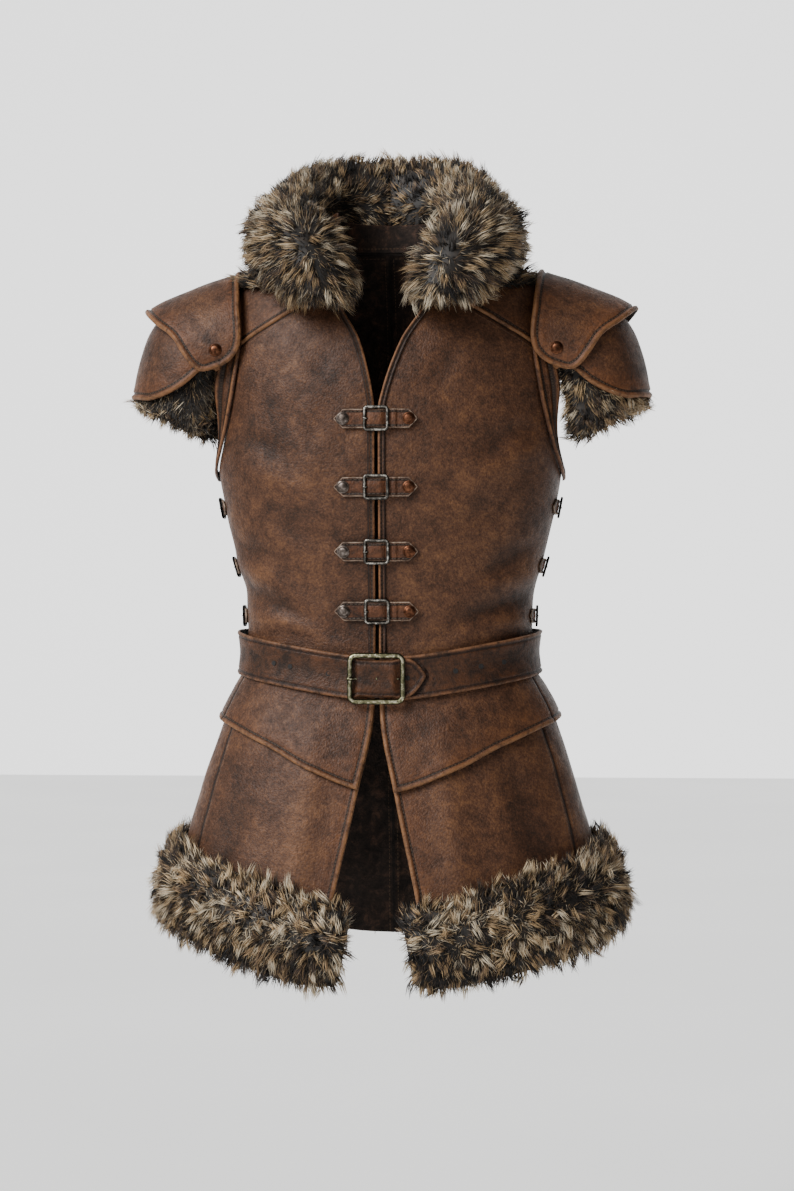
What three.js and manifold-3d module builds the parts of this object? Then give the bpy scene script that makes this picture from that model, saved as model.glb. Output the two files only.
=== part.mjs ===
import * as THREE from 'three';
import { mergeVertices } from 'three/addons/utils/BufferGeometryUtils.js';
import Module from 'manifold-3d';

const wasm = await Module();
wasm.setup();

// Driving dimensions, millimetres and degrees. Front faces -Y, height is +Z.
const LEATHER = 2.6;
const SEAM = 0.3;
const CLOSURE_X = -7;
const SIDE_SEAM_BODY = 90;
const SIDE_SEAM_SKIRT = 71;
const SIDE_SEAM_PEPLUM = 76;
const BELT_HALF = 24.5;
const BELT_THICK = 3.2;
const BINDING_WIDTH = 7.5;
const BINDING_THICK = 2;
const TAB_HALF = 10.6;
const TAB_THICK = 2;
const FUR_DEPTH = 28;
const SEAM_STEPS = 9;
const BACK_LOW = 0.5;
const BACK_HIGH = 0.8;
const OVERLAY = 1.3;

// Torso and skirt cross-sections: half width, depth to front and back, squareness.
const SECTIONS = [
  { z: -900, side: 287, front: 176, back: 174, square: 2.3 },
  { z: -800, side: 266, front: 163, back: 162, square: 2.3 },
  { z: -700, side: 241, front: 149, back: 148, square: 2.35 },
  { z: -616, side: 216, front: 134, back: 132, square: 2.4 },
  { z: -562, side: 199, front: 122, back: 121, square: 2.4 },
  { z: -540, side: 191, front: 115, back: 117, square: 2.4 },
  { z: -522, side: 182, front: 112.5, back: 112, square: 2.4 },
  { z: -502, side: 172, front: 112, back: 107.5, square: 2.4 },
  { z: -460, side: 170, front: 112, back: 106, square: 2.4 },
  { z: -418, side: 171, front: 115, back: 109, square: 2.4 },
  { z: -364, side: 184, front: 121, back: 116, square: 2.4 },
  { z: -310, side: 197, front: 127, back: 123, square: 2.4 },
  { z: -256, side: 205, front: 130, back: 128, square: 2.4 },
  { z: -180, side: 204, front: 128, back: 131, square: 2.4 },
  { z: -130, side: 204, front: 122, back: 130, square: 2.4 },
  { z: -90, side: 203, front: 112, back: 126, square: 2.3 },
  { z: -62, side: 199, front: 101, back: 118, square: 2.2 },
  { z: -48, side: 191, front: 95, back: 112, square: 2.15 },
  { z: -36, side: 174, front: 89, back: 105, square: 2.1 },
  { z: -24, side: 144, front: 82, back: 97, square: 2.1 },
  { z: -12, side: 110, front: 73, back: 88, square: 2.1 },
  { z: 0, side: 80, front: 64, back: 80, square: 2.1 },
  { z: 12, side: 71, front: 60, back: 76, square: 2.1 },
  { z: 50, side: 72, front: 60, back: 78, square: 2.1 },
];

// Half opening between the two front edges at each height.
const FRONT_GAP = [
  { z: -900, gap: 74 },
  { z: -760, gap: 48 },
  { z: -641, gap: 22 },
  { z: -545, gap: 4 },
  { z: -500, gap: 3 },
  { z: -196, gap: 3 },
  { z: -183, gap: 5 },
  { z: -119, gap: 24 },
  { z: -76, gap: 50 },
];

// Armhole edge, by angle round the body from the front centre.
const ARMHOLE = [
  { t: 0, phi: 90, z: -268 },
  { t: 0.06, phi: 82, z: -259 },
  { t: 0.13, phi: 75.5, z: -236 },
  { t: 0.22, phi: 71, z: -198 },
  { t: 0.31, phi: 68, z: -158 },
  { t: 0.38, phi: 67, z: -120 },
  { t: 0.44, phi: 70, z: -84 },
  { t: 0.48, phi: 78, z: -54 },
  { t: 0.52, phi: 90, z: -43 },
  { t: 0.56, phi: 102, z: -52 },
  { t: 0.61, phi: 110, z: -80 },
  { t: 0.67, phi: 113, z: -115 },
  { t: 0.76, phi: 112, z: -160 },
  { t: 0.86, phi: 108, z: -208 },
  { t: 0.94, phi: 101, z: -250 },
  { t: 1, phi: 90, z: -268 },
];
const ARMHOLE_FRONT_YOKE = 0.38;
const ARMHOLE_BACK_YOKE = 0.67;

// Neckline on the yoke, from its front seam to its back seam.
const NECKLINE = [
  { t: 0, phi: 34.6, z: -52 },
  { t: 0.2, phi: 44, z: -29 },
  { t: 0.4, phi: 58, z: -9 },
  { t: 0.65, phi: 90, z: -1 },
  { t: 1, phi: 128, z: 6 },
];

const PEPLUM_EDGE = [
  { phi: 0, z: -640 },
  { phi: 10, z: -636 },
  { phi: 36, z: -612 },
  { phi: 54, z: -586 },
  { phi: 75, z: -563 },
  { phi: 90, z: -557 },
  { phi: 135, z: -568 },
  { phi: 182, z: -580 },
];

const FUR_TOP = [
  { phi: 0, z: -762 },
  { phi: 25, z: -756 },
  { phi: 50, z: -733 },
  { phi: 70, z: -714 },
  { phi: 90, z: -694 },
  { phi: 120, z: -700 },
  { phi: 182, z: -722 },
];
const FUR_BOTTOM = [
  { phi: 0, z: -862 },
  { phi: 25, z: -859 },
  { phi: 50, z: -846 },
  { phi: 70, z: -824 },
  { phi: 90, z: -803 },
  { phi: 120, z: -806 },
  { phi: 182, z: -830 },
];

const CLOSURES = [
  { name: 'closure_1', z: -209 },
  { name: 'closure_2', z: -287 },
  { name: 'closure_3', z: -361 },
  { name: 'closure_4', z: -430 },
];
const SIDE_ROWS = [
  { name: '1', z: -306 },
  { name: '2', z: -376 },
  { name: '3', z: -436 },
];

const group = new THREE.Group();
group.name = 'viking_vest';

const MATERIALS = {
  leather: { color: 0x4b2f1e, roughness: 0.62, metalness: 0 },
  trim: { color: 0x3c2416, roughness: 0.58, metalness: 0 },
  fur: { color: 0x85705a, roughness: 0.95, metalness: 0 },
  steel: { color: 0x6d6d6b, roughness: 0.42, metalness: 0.9 },
  brass: { color: 0x76705a, roughness: 0.4, metalness: 0.9 },
  copper: { color: 0x5a3a2a, roughness: 0.45, metalness: 0.8 },
};

function radians(degrees) {
  return degrees * Math.PI / 180;
}

function mix(from, to, share) {
  return from + (to - from) * share;
}

function slopeAt(table, key, column, i) {
  const before = table[Math.max(i - 1, 0)];
  const after = table[Math.min(i + 1, table.length - 1)];
  const here = table[i];
  if (before === here || after === here) {
    return (after[column] - before[column]) / (after[key] - before[key]);
  }
  const left = (here[column] - before[column]) / (here[key] - before[key]);
  const right = (after[column] - here[column]) / (after[key] - here[key]);
  return left * right <= 0 ? 0 : 2 * left * right / (left + right);
}

// A smooth curve through one column of a table, with no overshoot.
function through(table, key, column, value) {
  const last = table.length - 1;
  const at = Math.min(Math.max(value, table[0][key]), table[last][key]);
  let i = 0;
  while (i < last - 1 && table[i + 1][key] < at) {
    i += 1;
  }
  const width = table[i + 1][key] - table[i][key];
  const s = (at - table[i][key]) / width;
  const rise = table[i + 1][column] - table[i][column];
  const a = slopeAt(table, key, column, i) * width;
  const b = slopeAt(table, key, column, i + 1) * width;
  const bend = s * (1 - s) * ((a - rise) * (1 - s) + (rise - b) * s);
  return table[i][column] + s * rise + bend;
}

function sectionAt(z) {
  return {
    side: through(SECTIONS, 'z', 'side', z),
    front: through(SECTIONS, 'z', 'front', z),
    back: through(SECTIONS, 'z', 'back', z),
    square: through(SECTIONS, 'z', 'square', z),
  };
}

function ringPoint(phi, z) {
  const section = sectionAt(z);
  const angle = radians(phi);
  const across = Math.sin(angle);
  const along = Math.cos(angle);
  const depth = along > 0 ? section.front : section.back;
  const n = section.square;
  const sum = Math.abs(across / section.side) ** n + Math.abs(along / depth) ** n;
  const radius = sum ** (-1 / n);
  return new THREE.Vector3(radius * across, -radius * along, z);
}

// A point of the garment surface, moved out along its normal.
function onBody(phi, z, out) {
  const turn = 0.5;
  const lift = 1;
  const round = ringPoint(phi + turn, z).sub(ringPoint(phi - turn, z));
  const up = ringPoint(phi, z + lift).sub(ringPoint(phi, z - lift));
  const normal = round.cross(up).normalize();
  return ringPoint(phi, z).addScaledVector(normal, out);
}

function phiAtX(x, z) {
  const section = sectionAt(z);
  const n = section.square;
  const depth = section.front * (1 - Math.abs(x / section.side) ** n) ** (1 / n);
  return Math.atan2(x, depth) * 180 / Math.PI;
}

function phiBackAtX(x, z, hand) {
  const section = sectionAt(z);
  const n = section.square;
  const depth = section.back * (1 - Math.abs(x / section.side) ** n) ** (1 / n);
  const angle = Math.atan2(x, -depth) * 180 / Math.PI;
  if (hand > 0 && angle < 0) {
    return angle + 360;
  }
  if (hand < 0 && angle > 0) {
    return angle - 360;
  }
  return angle;
}

// The two fronts meet off centre below the V and open evenly about the neck.
const NECK_START = NECKLINE[0];
FRONT_GAP.push({ z: NECK_START.z, gap: ringPoint(NECK_START.phi, NECK_START.z).x });

function frontEdgePhi(z, hand, inset) {
  const gap = through(FRONT_GAP, 'z', 'gap', z) + inset;
  const rise = Math.min(Math.max((z + 190) / (NECK_START.z + 190), 0), 1);
  return phiAtX(CLOSURE_X * (1 - rise) + hand * gap, z);
}

function backSeamPhi(z, hand) {
  return phiBackAtX(CLOSURE_X + hand * SEAM / 2, z, hand);
}

// Height of the belt's middle: it dips at the front.
function waistZ(phi) {
  const forward = Math.cos(radians(phi));
  return -478 - 30 * Math.max(forward, 0) ** 1.5 + 6 * Math.max(-forward, 0) ** 1.5;
}

function hemZ(phi) {
  const forward = Math.cos(radians(phi));
  return -795 - 54 * Math.max(forward, 0) ** 1.3 - 42 * Math.max(-forward, 0) ** 1.3;
}

function shares(count) {
  return Array.from({ length: count + 1 }, (_, i) => i / count);
}

function tidy(geometry) {
  const positions = new THREE.BufferGeometry();
  positions.setAttribute('position', geometry.getAttribute('position'));
  if (geometry.index) {
    positions.setIndex(geometry.index);
  }
  const merged = mergeVertices(positions, 1e-3);
  const place = merged.getAttribute('position');
  const faces = [];
  let volume = 0;
  const a = new THREE.Vector3();
  const b = new THREE.Vector3();
  const c = new THREE.Vector3();
  for (let i = 0; i < merged.index.count; i += 3) {
    const ids = [0, 1, 2].map((k) => merged.index.getX(i + k));
    if (ids[0] !== ids[1] && ids[1] !== ids[2] && ids[0] !== ids[2]) {
      faces.push(ids);
      a.fromBufferAttribute(place, ids[0]);
      b.fromBufferAttribute(place, ids[1]);
      c.fromBufferAttribute(place, ids[2]);
      volume += a.dot(b.cross(c));
    }
  }
  const order = volume < 0 ? [0, 2, 1] : [0, 1, 2];
  merged.setIndex(faces.flatMap((ids) => order.map((k) => ids[k])));
  merged.computeVertexNormals();
  return merged;
}

function fromPoints(points, faces) {
  const geometry = new THREE.BufferGeometry();
  const flat = points.flatMap((p) => [p.x, p.y, p.z]);
  geometry.setAttribute('position', new THREE.Float32BufferAttribute(flat, 3));
  geometry.setIndex(faces.flat());
  return tidy(geometry);
}

function quad(a, b, c, d) {
  return [[a, b, c], [a, c, d]];
}

// A sheet with thickness: place(u, v, level) gives its inner and outer faces.
function sheet(place, us, vs) {
  const points = [];
  for (const level of [0, 1]) {
    for (const u of us) {
      for (const v of vs) {
        points.push(place(u, v, level));
      }
    }
  }
  const wide = vs.length;
  const layer = us.length * wide;
  const id = (i, j, level) => level * layer + i * wide + j;
  const faces = [];
  for (let i = 0; i < us.length - 1; i += 1) {
    for (let j = 0; j < wide - 1; j += 1) {
      faces.push(...quad(id(i, j, 1), id(i + 1, j, 1), id(i + 1, j + 1, 1), id(i, j + 1, 1)));
      faces.push(...quad(id(i, j, 0), id(i, j + 1, 0), id(i + 1, j + 1, 0), id(i + 1, j, 0)));
    }
  }
  for (let i = 0; i < us.length - 1; i += 1) {
    const far = wide - 1;
    faces.push(...quad(id(i, 0, 0), id(i + 1, 0, 0), id(i + 1, 0, 1), id(i, 0, 1)));
    faces.push(...quad(id(i, far, 0), id(i, far, 1), id(i + 1, far, 1), id(i + 1, far, 0)));
  }
  for (let j = 0; j < wide - 1; j += 1) {
    const far = us.length - 1;
    faces.push(...quad(id(0, j, 0), id(0, j, 1), id(0, j + 1, 1), id(0, j + 1, 0)));
    faces.push(...quad(id(far, j, 0), id(far, j + 1, 0), id(far, j + 1, 1), id(far, j, 1)));
  }
  return fromPoints(points, faces);
}

// A skin through rings of equal point counts; the ends are closed or the run is a loop.
function skin(rings, loop) {
  const size = rings[0].length;
  const points = rings.flat();
  const faces = [];
  const count = loop ? rings.length : rings.length - 1;
  for (let i = 0; i < count; i += 1) {
    const next = (i + 1) % rings.length;
    for (let j = 0; j < size; j += 1) {
      const k = (j + 1) % size;
      faces.push(...quad(i * size + j, next * size + j, next * size + k, i * size + k));
    }
  }
  if (!loop) {
    for (const end of [0, rings.length - 1]) {
      const middle = new THREE.Vector3();
      rings[end].forEach((p) => middle.addScaledVector(p, 1 / size));
      points.push(middle);
      const hub = points.length - 1;
      for (let j = 0; j < size; j += 1) {
        const a = end * size + j;
        const b = end * size + (j + 1) % size;
        faces.push(end === 0 ? [hub, a, b] : [hub, b, a]);
      }
    }
  }
  return fromPoints(points, faces);
}

function solidOf(geometry) {
  const place = geometry.getAttribute('position');
  const mesh = new wasm.Mesh({
    numProp: 3,
    vertProperties: Float32Array.from(place.array),
    triVerts: Uint32Array.from(geometry.index.array),
  });
  return new wasm.Manifold(mesh);
}

function joined(geometries) {
  const whole = geometries.map(solidOf).reduce((a, b) => a.add(b));
  const mesh = whole.getMesh();
  const geometry = new THREE.BufferGeometry();
  geometry.setAttribute('position', new THREE.BufferAttribute(mesh.vertProperties, 3));
  geometry.setIndex(Array.from(mesh.triVerts));
  return tidy(geometry);
}

function add(name, geometry, look) {
  const mesh = new THREE.Mesh(geometry, new THREE.MeshStandardMaterial(MATERIALS[look]));
  mesh.name = name;
  group.add(mesh);
}

function handName(hand) {
  return hand < 0 ? 'right' : 'left';
}

function armholeAt(t) {
  return {
    phi: through(ARMHOLE, 't', 'phi', t),
    z: through(ARMHOLE, 't', 'z', t),
  };
}

function necklineAt(t) {
  return {
    phi: through(NECKLINE, 't', 'phi', t),
    z: through(NECKLINE, 't', 'z', t),
  };
}

// Body fronts: front edge and V on one side, side slit and armhole on the other.
function frontOuter(v) {
  const split = 0.52;
  if (v <= split) {
    const phi = SIDE_SEAM_BODY - 0.25;
    const z = mix(waistZ(phi) + SEAM / 2, ARMHOLE[0].z, v / split);
    return { phi, z };
  }
  const t = (v - split) / (1 - split) * ARMHOLE_FRONT_YOKE;
  const spot = armholeAt(t);
  return { phi: spot.phi - 0.25, z: spot.z - SEAM / 2 };
}

function frontInner(v) {
  const split = 0.6;
  const foot = waistZ(0) + SEAM / 2;
  const breast = FRONT_GAP[5].z;
  const top = NECKLINE[0].z - SEAM / 2;
  const high = v <= split
    ? mix(foot, breast, v / split)
    : mix(breast, top, (v - split) / (1 - split));
  return { z: high };
}

function frontPanel(hand) {
  const place = (u, v, level) => {
    const inner = frontInner(v);
    const outer = frontOuter(v);
    const start = frontEdgePhi(inner.z, hand, 0);
    const phi = mix(start, hand * outer.phi, u);
    const foot = v === 0 ? waistZ(phi) + SEAM / 2 : mix(inner.z, outer.z, u);
    return onBody(phi, foot, (level - 1) * LEATHER);
  };
  add(`front_${handName(hand)}`, sheet(place, shares(SEAM_STEPS), shares(15)), 'leather');
}

function backOuter(v) {
  const side = SIDE_SEAM_BODY + 0.25;
  if (v <= BACK_LOW) {
    return { phi: side, z: mix(waistZ(side) + SEAM / 2, ARMHOLE[0].z, v / BACK_LOW) };
  }
  if (v <= BACK_HIGH) {
    const t = 1 - (v - BACK_LOW) / (BACK_HIGH - BACK_LOW) * (1 - ARMHOLE_BACK_YOKE);
    const spot = armholeAt(t);
    return { phi: spot.phi + 0.25, z: spot.z - SEAM / 2 };
  }
  const share = (v - BACK_HIGH) / (1 - BACK_HIGH);
  const arm = armholeAt(ARMHOLE_BACK_YOKE);
  const neck = necklineAt(1);
  return {
    phi: mix(arm.phi, neck.phi, share) + 0.25,
    z: mix(arm.z, neck.z, share) - SEAM / 2,
  };
}

function backPanel(hand) {
  const place = (u, v, level) => {
    const outer = backOuter(v);
    const centre = mix(waistZ(180) + SEAM / 2, 8, v);
    const seam = backSeamPhi(centre, hand);
    const phi = mix(seam, hand * outer.phi, u);
    const z = v === 0 ? waistZ(phi) + SEAM / 2 : mix(centre, outer.z, u);
    return onBody(phi, z, (level - 1) * LEATHER);
  };
  const low = shares(7).map((share) => share * BACK_LOW);
  const middle = shares(5).map((share) => mix(BACK_LOW, BACK_HIGH, share));
  const high = shares(SEAM_STEPS).map((share) => mix(BACK_HIGH, 1, share));
  const rows = [...low, ...middle.slice(1), ...high.slice(1)];
  add(`back_${handName(hand)}`, sheet(place, shares(9), rows), 'leather');
}

function yoke(hand) {
  const place = (u, v, level) => {
    const neck = necklineAt(u);
    const arm = armholeAt(mix(ARMHOLE_FRONT_YOKE, ARMHOLE_BACK_YOKE, u));
    const phi = mix(neck.phi, arm.phi, v);
    const z = mix(neck.z, arm.z, v) + SEAM / 2;
    return onBody(hand * phi, z, (level - 1) * LEATHER);
  };
  add(`yoke_${handName(hand)}`, sheet(place, shares(8), shares(SEAM_STEPS)), 'leather');
}

function skirtPanel(hand, front) {
  const seam = SIDE_SEAM_SKIRT;
  const step = front ? -0.06 : 0.06;
  const place = (u, v, level) => {
    const trial = mix(waistZ(front ? 0 : 180), hemZ(front ? 0 : 180), v);
    const inner = front ? frontEdgePhi(trial, hand, 0) : backSeamPhi(trial, hand);
    const phi = mix(inner, hand * (seam + step), u);
    const z = mix(waistZ(phi) - SEAM / 2, hemZ(phi), v);
    const edge = front ? frontEdgePhi(z, hand, 0) : backSeamPhi(z, hand);
    const exact = mix(edge, hand * (seam + step), u);
    const tuck = 2 * Math.max(1 - v / 0.34, 0);
    return onBody(exact, z, (level - 1) * LEATHER - tuck);
  };
  const name = front ? 'skirt_front' : 'skirt_back';
  const across = front ? 7 : 9;
  const rows = [0, 0.06, 0.1, 0.15, 0.25, 0.4, 0.58, 0.8, 1];
  add(`${name}_${handName(hand)}`, sheet(place, shares(across), rows), 'leather');
}

function peplum(hand, front) {
  const seam = SIDE_SEAM_PEPLUM;
  const step = front ? -0.06 : 0.06;
  const place = (u, v, level) => {
    const foot = through(PEPLUM_EDGE, 'phi', 'z', front ? 0 : 180);
    const trial = mix(waistZ(front ? 0 : 180), foot, v);
    const inner = front ? frontEdgePhi(trial, hand, 0) : backSeamPhi(trial, hand);
    const phi = mix(inner, hand * (seam + step), u);
    const low = through(PEPLUM_EDGE, 'phi', 'z', Math.abs(phi));
    const z = mix(waistZ(phi) - 2, low, v);
    const edge = front ? frontEdgePhi(z, hand, 0) : backSeamPhi(z, hand);
    const exact = mix(edge, hand * (seam + step), u);
    const flare = 3 * v * v;
    return onBody(exact, z, OVERLAY + flare + level * LEATHER);
  };
  const name = front ? 'peplum_front' : 'peplum_back';
  const across = front ? 8 : 9;
  const rows = [0, 0.16, 0.34, 0.6, 1];
  add(`${name}_${handName(hand)}`, sheet(place, shares(across), rows), 'leather');
}

// Strip sewn over the front edge, from under the collar to the belt.
function frontBinding(hand) {
  const place = (u, v, level) => {
    const z = mix(NECKLINE[0].z - 3, waistZ(0) + BELT_HALF + 1, u);
    const phi = frontEdgePhi(z, hand, v * BINDING_WIDTH - 0.6);
    return onBody(phi, z, SEAM + 0.2 + level * BINDING_THICK);
  };
  add(`front_binding_${handName(hand)}`, sheet(place, shares(22), shares(1)), 'trim');
}

// Strip sewn round the armhole edge, a closed loop of four-sided sections.
function armholeBinding(hand) {
  const count = 36;
  const rings = [];
  const middle = { phi: 90, z: -158 };
  const rest = 2.3;
  for (let i = 0; i < count; i += 1) {
    const spot = armholeAt(i / count);
    const flat = new THREE.Vector2(spot.phi - middle.phi, spot.z - middle.z);
    const scale = 3.1;
    flat.x *= scale;
    const away = flat.clone().normalize();
    const at = (shift, out) => {
      const phi = spot.phi + away.x * shift / scale;
      return onBody(hand * phi, spot.z + away.y * shift, out);
    };
    rings.push([
      at(-1, rest),
      at(BINDING_WIDTH - 1, rest),
      at(BINDING_WIDTH - 1, rest + BINDING_THICK),
      at(-1, rest + BINDING_THICK),
    ]);
  }
  add(`armhole_binding_${handName(hand)}`, skin(rings, true), 'trim');
}

// Stand of the collar at the back of the neck.
function collarBand() {
  const reach = 118;
  const place = (u, v, level) => {
    const phi = mix(180 - reach, 180 + reach, u);
    const turned = Math.min(phi, 360 - phi);
    const foot = turned < 128
      ? through(NECKLINE, 'phi', 'z', turned) + SEAM
      : mix(6, 8, (turned - 128) / 52) + SEAM;
    const z = mix(foot + 0.6, 42, v);
    return onBody(phi, z, (level - 1) * LEATHER);
  };
  add('collar_band', sheet(place, shares(20), shares(3)), 'leather');
}

// Belt: one strap from its tip, over its own start, round the body to the buckle.
const BELT_TIP_PHI = 21;
const BELT_UNDER = OVERLAY + LEATHER + 1.7;
const BELT_TURNS = [
  { t: 0, out: BELT_THICK + SEAM, half: 1.5 },
  { t: 0.008, out: BELT_THICK + SEAM, half: 13 },
  { t: 0.017, out: BELT_THICK + SEAM, half: 20 },
  { t: 0.028, out: BELT_THICK + SEAM, half: 22 },
  { t: 0.1, out: BELT_THICK + SEAM, half: BELT_HALF },
  { t: 0.14, out: 0.6, half: BELT_HALF },
  { t: 0.18, out: 0, half: BELT_HALF },
  { t: 1, out: 0, half: BELT_HALF },
];

function beltSpot(phi, up, out) {
  const low = waistZ(phi);
  const base = onBody(phi, low, 0);
  const lift = 1.5;
  const round = ringPoint(phi + lift, low).sub(ringPoint(phi - lift, low));
  const level = new THREE.Vector3(round.y, -round.x, 0).normalize();
  const lean = Math.abs(up) * 0.11;
  return base.addScaledVector(level, out + lean).add(new THREE.Vector3(0, 0, up));
}

function belt() {
  const start = BELT_TIP_PHI;
  const finish = BELT_TIP_PHI - 360 - 15;
  const early = [0, 0.008, 0.017, 0.028, 0.045, 0.065, 0.085, 0.1, 0.12, 0.14, 0.16, 0.18];
  const late = shares(42).slice(1).map((share) => mix(0.18, 1, share));
  const place = (u, v, level) => {
    const half = through(BELT_TURNS, 't', 'half', u);
    const out = through(BELT_TURNS, 't', 'out', u);
    const phi = mix(start, finish, u);
    return beltSpot(phi, mix(-half, half, v), BELT_UNDER + out + level * BELT_THICK);
  };
  add('belt', sheet(place, [...early, ...late], shares(1)), 'trim');
}

// A wire frame bent to a rounded rectangle, on a local right, up and out basis.
function frame(spot, size) {
  const corners = 4;
  const path = [];
  const reach = new THREE.Vector2(size.half.x - size.corner, size.half.y - size.corner);
  for (let side = 0; side < corners; side += 1) {
    for (const share of shares(size.bend)) {
      const angle = (side + share) * Math.PI / 2;
      const turn = (side + 0.5) * Math.PI / 2;
      path.push({
        x: Math.sign(Math.cos(turn)) * reach.x + Math.cos(angle) * size.corner,
        y: Math.sign(Math.sin(turn)) * reach.y + Math.sin(angle) * size.corner,
        angle,
      });
    }
  }
  const rings = path.map((point) => {
    const ring = [];
    for (let j = 0; j < size.sides; j += 1) {
      const round = (j + 0.5) / size.sides * 2 * Math.PI;
      const away = Math.cos(round) * size.wire;
      const bend = size.curve * point.x * point.x;
      ring.push(
        spot.at(
          point.x + Math.cos(point.angle) * away,
          point.y + Math.sin(point.angle) * away,
          Math.sin(round) * size.wire - bend,
        ),
      );
    }
    return ring;
  });
  return skin(rings, true);
}

function bodyBasis(phi, z, out) {
  const origin = onBody(phi, z, out);
  const round = ringPoint(phi + 1, z).sub(ringPoint(phi - 1, z)).setZ(0).normalize();
  const up = ringPoint(phi, z + 6).sub(ringPoint(phi, z - 6)).normalize();
  const away = round.clone().cross(up).normalize();
  const at = (x, y, d) => origin.clone()
    .addScaledVector(round, x).addScaledVector(up, y).addScaledVector(away, d);
  return { at, origin, round, up, away };
}

function dome(basis, x, y, size) {
  const rings = [];
  const steps = 3;
  const sides = 10;
  for (let i = 0; i <= steps; i += 1) {
    const lean = i / steps * Math.PI * 0.44;
    const radius = size.radius * Math.cos(lean);
    const high = size.base + size.height * Math.sin(lean);
    const ring = [];
    for (let j = 0; j < sides; j += 1) {
      const turn = j / sides * 2 * Math.PI;
      ring.push(basis.at(x + radius * Math.cos(turn), y + radius * Math.sin(turn), high));
    }
    rings.push(ring);
  }
  return skin(rings, false);
}

const BELT_BUCKLE = {
  half: new THREE.Vector2(30.5, 26.5),
  corner: 6,
  bend: 3,
  sides: 8,
  wire: 2.6,
  curve: 0.0012,
};

function beltBuckle() {
  const phi = phiAtX(CLOSURE_X, waistZ(0));
  const rest = BELT_UNDER + 2 * BELT_THICK + SEAM + 3.7;
  const spot = bodyBasis(phi, waistZ(phi), rest + BELT_BUCKLE.wire);
  add('belt_buckle', frame(spot, BELT_BUCKLE), 'brass');
  const reach = BELT_BUCKLE.half.x;
  const thin = 1.3;
  const rings = shares(7).map((share) => {
    const x = mix(reach - BELT_BUCKLE.wire - SEAM, -reach - 1, share);
    const rise = share > 0.6 ? 5.4 * (share - 0.6) / 0.4 : 0;
    const out = -BELT_BUCKLE.curve * x * x + rise - 0.4;
    const ring = [];
    for (let j = 0; j < 6; j += 1) {
      const round = (j + 0.5) / 6 * 2 * Math.PI;
      ring.push(spot.at(x, Math.cos(round) * thin * 1.3, out + Math.sin(round) * thin));
    }
    return ring;
  });
  add('belt_prong', skin(rings, false), 'brass');
}

// A short strap lying on the body: stations along it give half width and thickness.
function tabSheet(phi, z, out, stations) {
  const radius = ringPoint(phi, z).setZ(0).length();
  const place = (u, v, level) => {
    const spot = stations[Math.round(u)];
    const angle = phi + spot.x / radius * 180 / Math.PI;
    const high = mix(-spot.half, spot.half, v);
    return onBody(angle, z + high, out + level * (TAB_THICK + spot.pad));
  };
  return sheet(place, stations.map((_, i) => i), shares(1));
}

const RIVET = { radius: 6.6, height: 3.2, base: -0.6 };
const SMALL_FRAME = {
  half: new THREE.Vector2(13.2, 13.2),
  corner: 3,
  bend: 2,
  sides: 6,
  wire: 1.5,
  curve: 0,
};
const TAB_OUT = SEAM + 0.2 + BINDING_THICK + 0.4;

function closure(row) {
  const phi = phiAtX(CLOSURE_X, row.z);
  const tip = 46;
  const rivetX = 37.5;
  const right = tabSheet(phi, row.z, TAB_OUT, [
    { x: -tip, half: 0.8, pad: 0 },
    { x: -tip + 9, half: TAB_HALF, pad: 0 },
    { x: -12, half: TAB_HALF, pad: 0 },
    { x: 10, half: TAB_HALF, pad: 0 },
  ]);
  const left = tabSheet(phi, row.z, TAB_OUT, [
    { x: 10.4, half: TAB_HALF, pad: 0 },
    { x: 17, half: TAB_HALF, pad: 0 },
    { x: 18.5, half: TAB_HALF, pad: 1.7 },
    { x: 22.5, half: TAB_HALF, pad: 1.7 },
    { x: 24, half: TAB_HALF, pad: 0 },
    { x: tip - 9, half: TAB_HALF, pad: 0 },
    { x: tip, half: 0.8, pad: 0 },
  ]);
  const radius = ringPoint(phi, row.z).setZ(0).length();
  const rivetAt = (x) => {
    const angle = phi + x / radius * 180 / Math.PI;
    return dome(bodyBasis(angle, row.z, TAB_OUT + TAB_THICK), 0, 0, RIVET);
  };
  add(`${row.name}_tab_right`, joined([right, rivetAt(-rivetX)]), 'leather');
  add(`${row.name}_tab_left`, joined([left, rivetAt(rivetX)]), 'leather');
  const rest = bodyBasis(phi, row.z, TAB_OUT + TAB_THICK + SEAM + SMALL_FRAME.wire);
  add(`${row.name}_buckle`, frame(rest, SMALL_FRAME), 'steel');
}

const SIDE_FRAME = {
  half: new THREE.Vector2(10.5, 11.5),
  corner: 3.5,
  bend: 2,
  sides: 5,
  wire: 1.4,
  curve: 0,
};

function sideFastening(hand, row) {
  const phi = hand * SIDE_SEAM_BODY;
  const half = 8.2;
  const out = SEAM;
  const strap = tabSheet(phi, row.z, out, [
    { x: -34, half: 0.8, pad: 0 },
    { x: -26, half, pad: 0 },
    { x: -16, half, pad: 0 },
    { x: -13, half, pad: 1.5 },
    { x: -5, half, pad: 1.5 },
    { x: 5, half, pad: 1.5 },
    { x: 13, half, pad: 1.5 },
    { x: 16, half, pad: 0 },
    { x: 26, half, pad: 0 },
    { x: 34, half: 0.8, pad: 0 },
  ]);
  const side = handName(hand);
  add(`side_strap_${side}_${row.name}`, strap, 'leather');
  const rest = bodyBasis(phi, row.z, out + TAB_THICK + 1.5 + SEAM + SIDE_FRAME.wire);
  add(`side_buckle_${side}_${row.name}`, frame(rest, SIDE_FRAME), 'steel');
}

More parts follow.
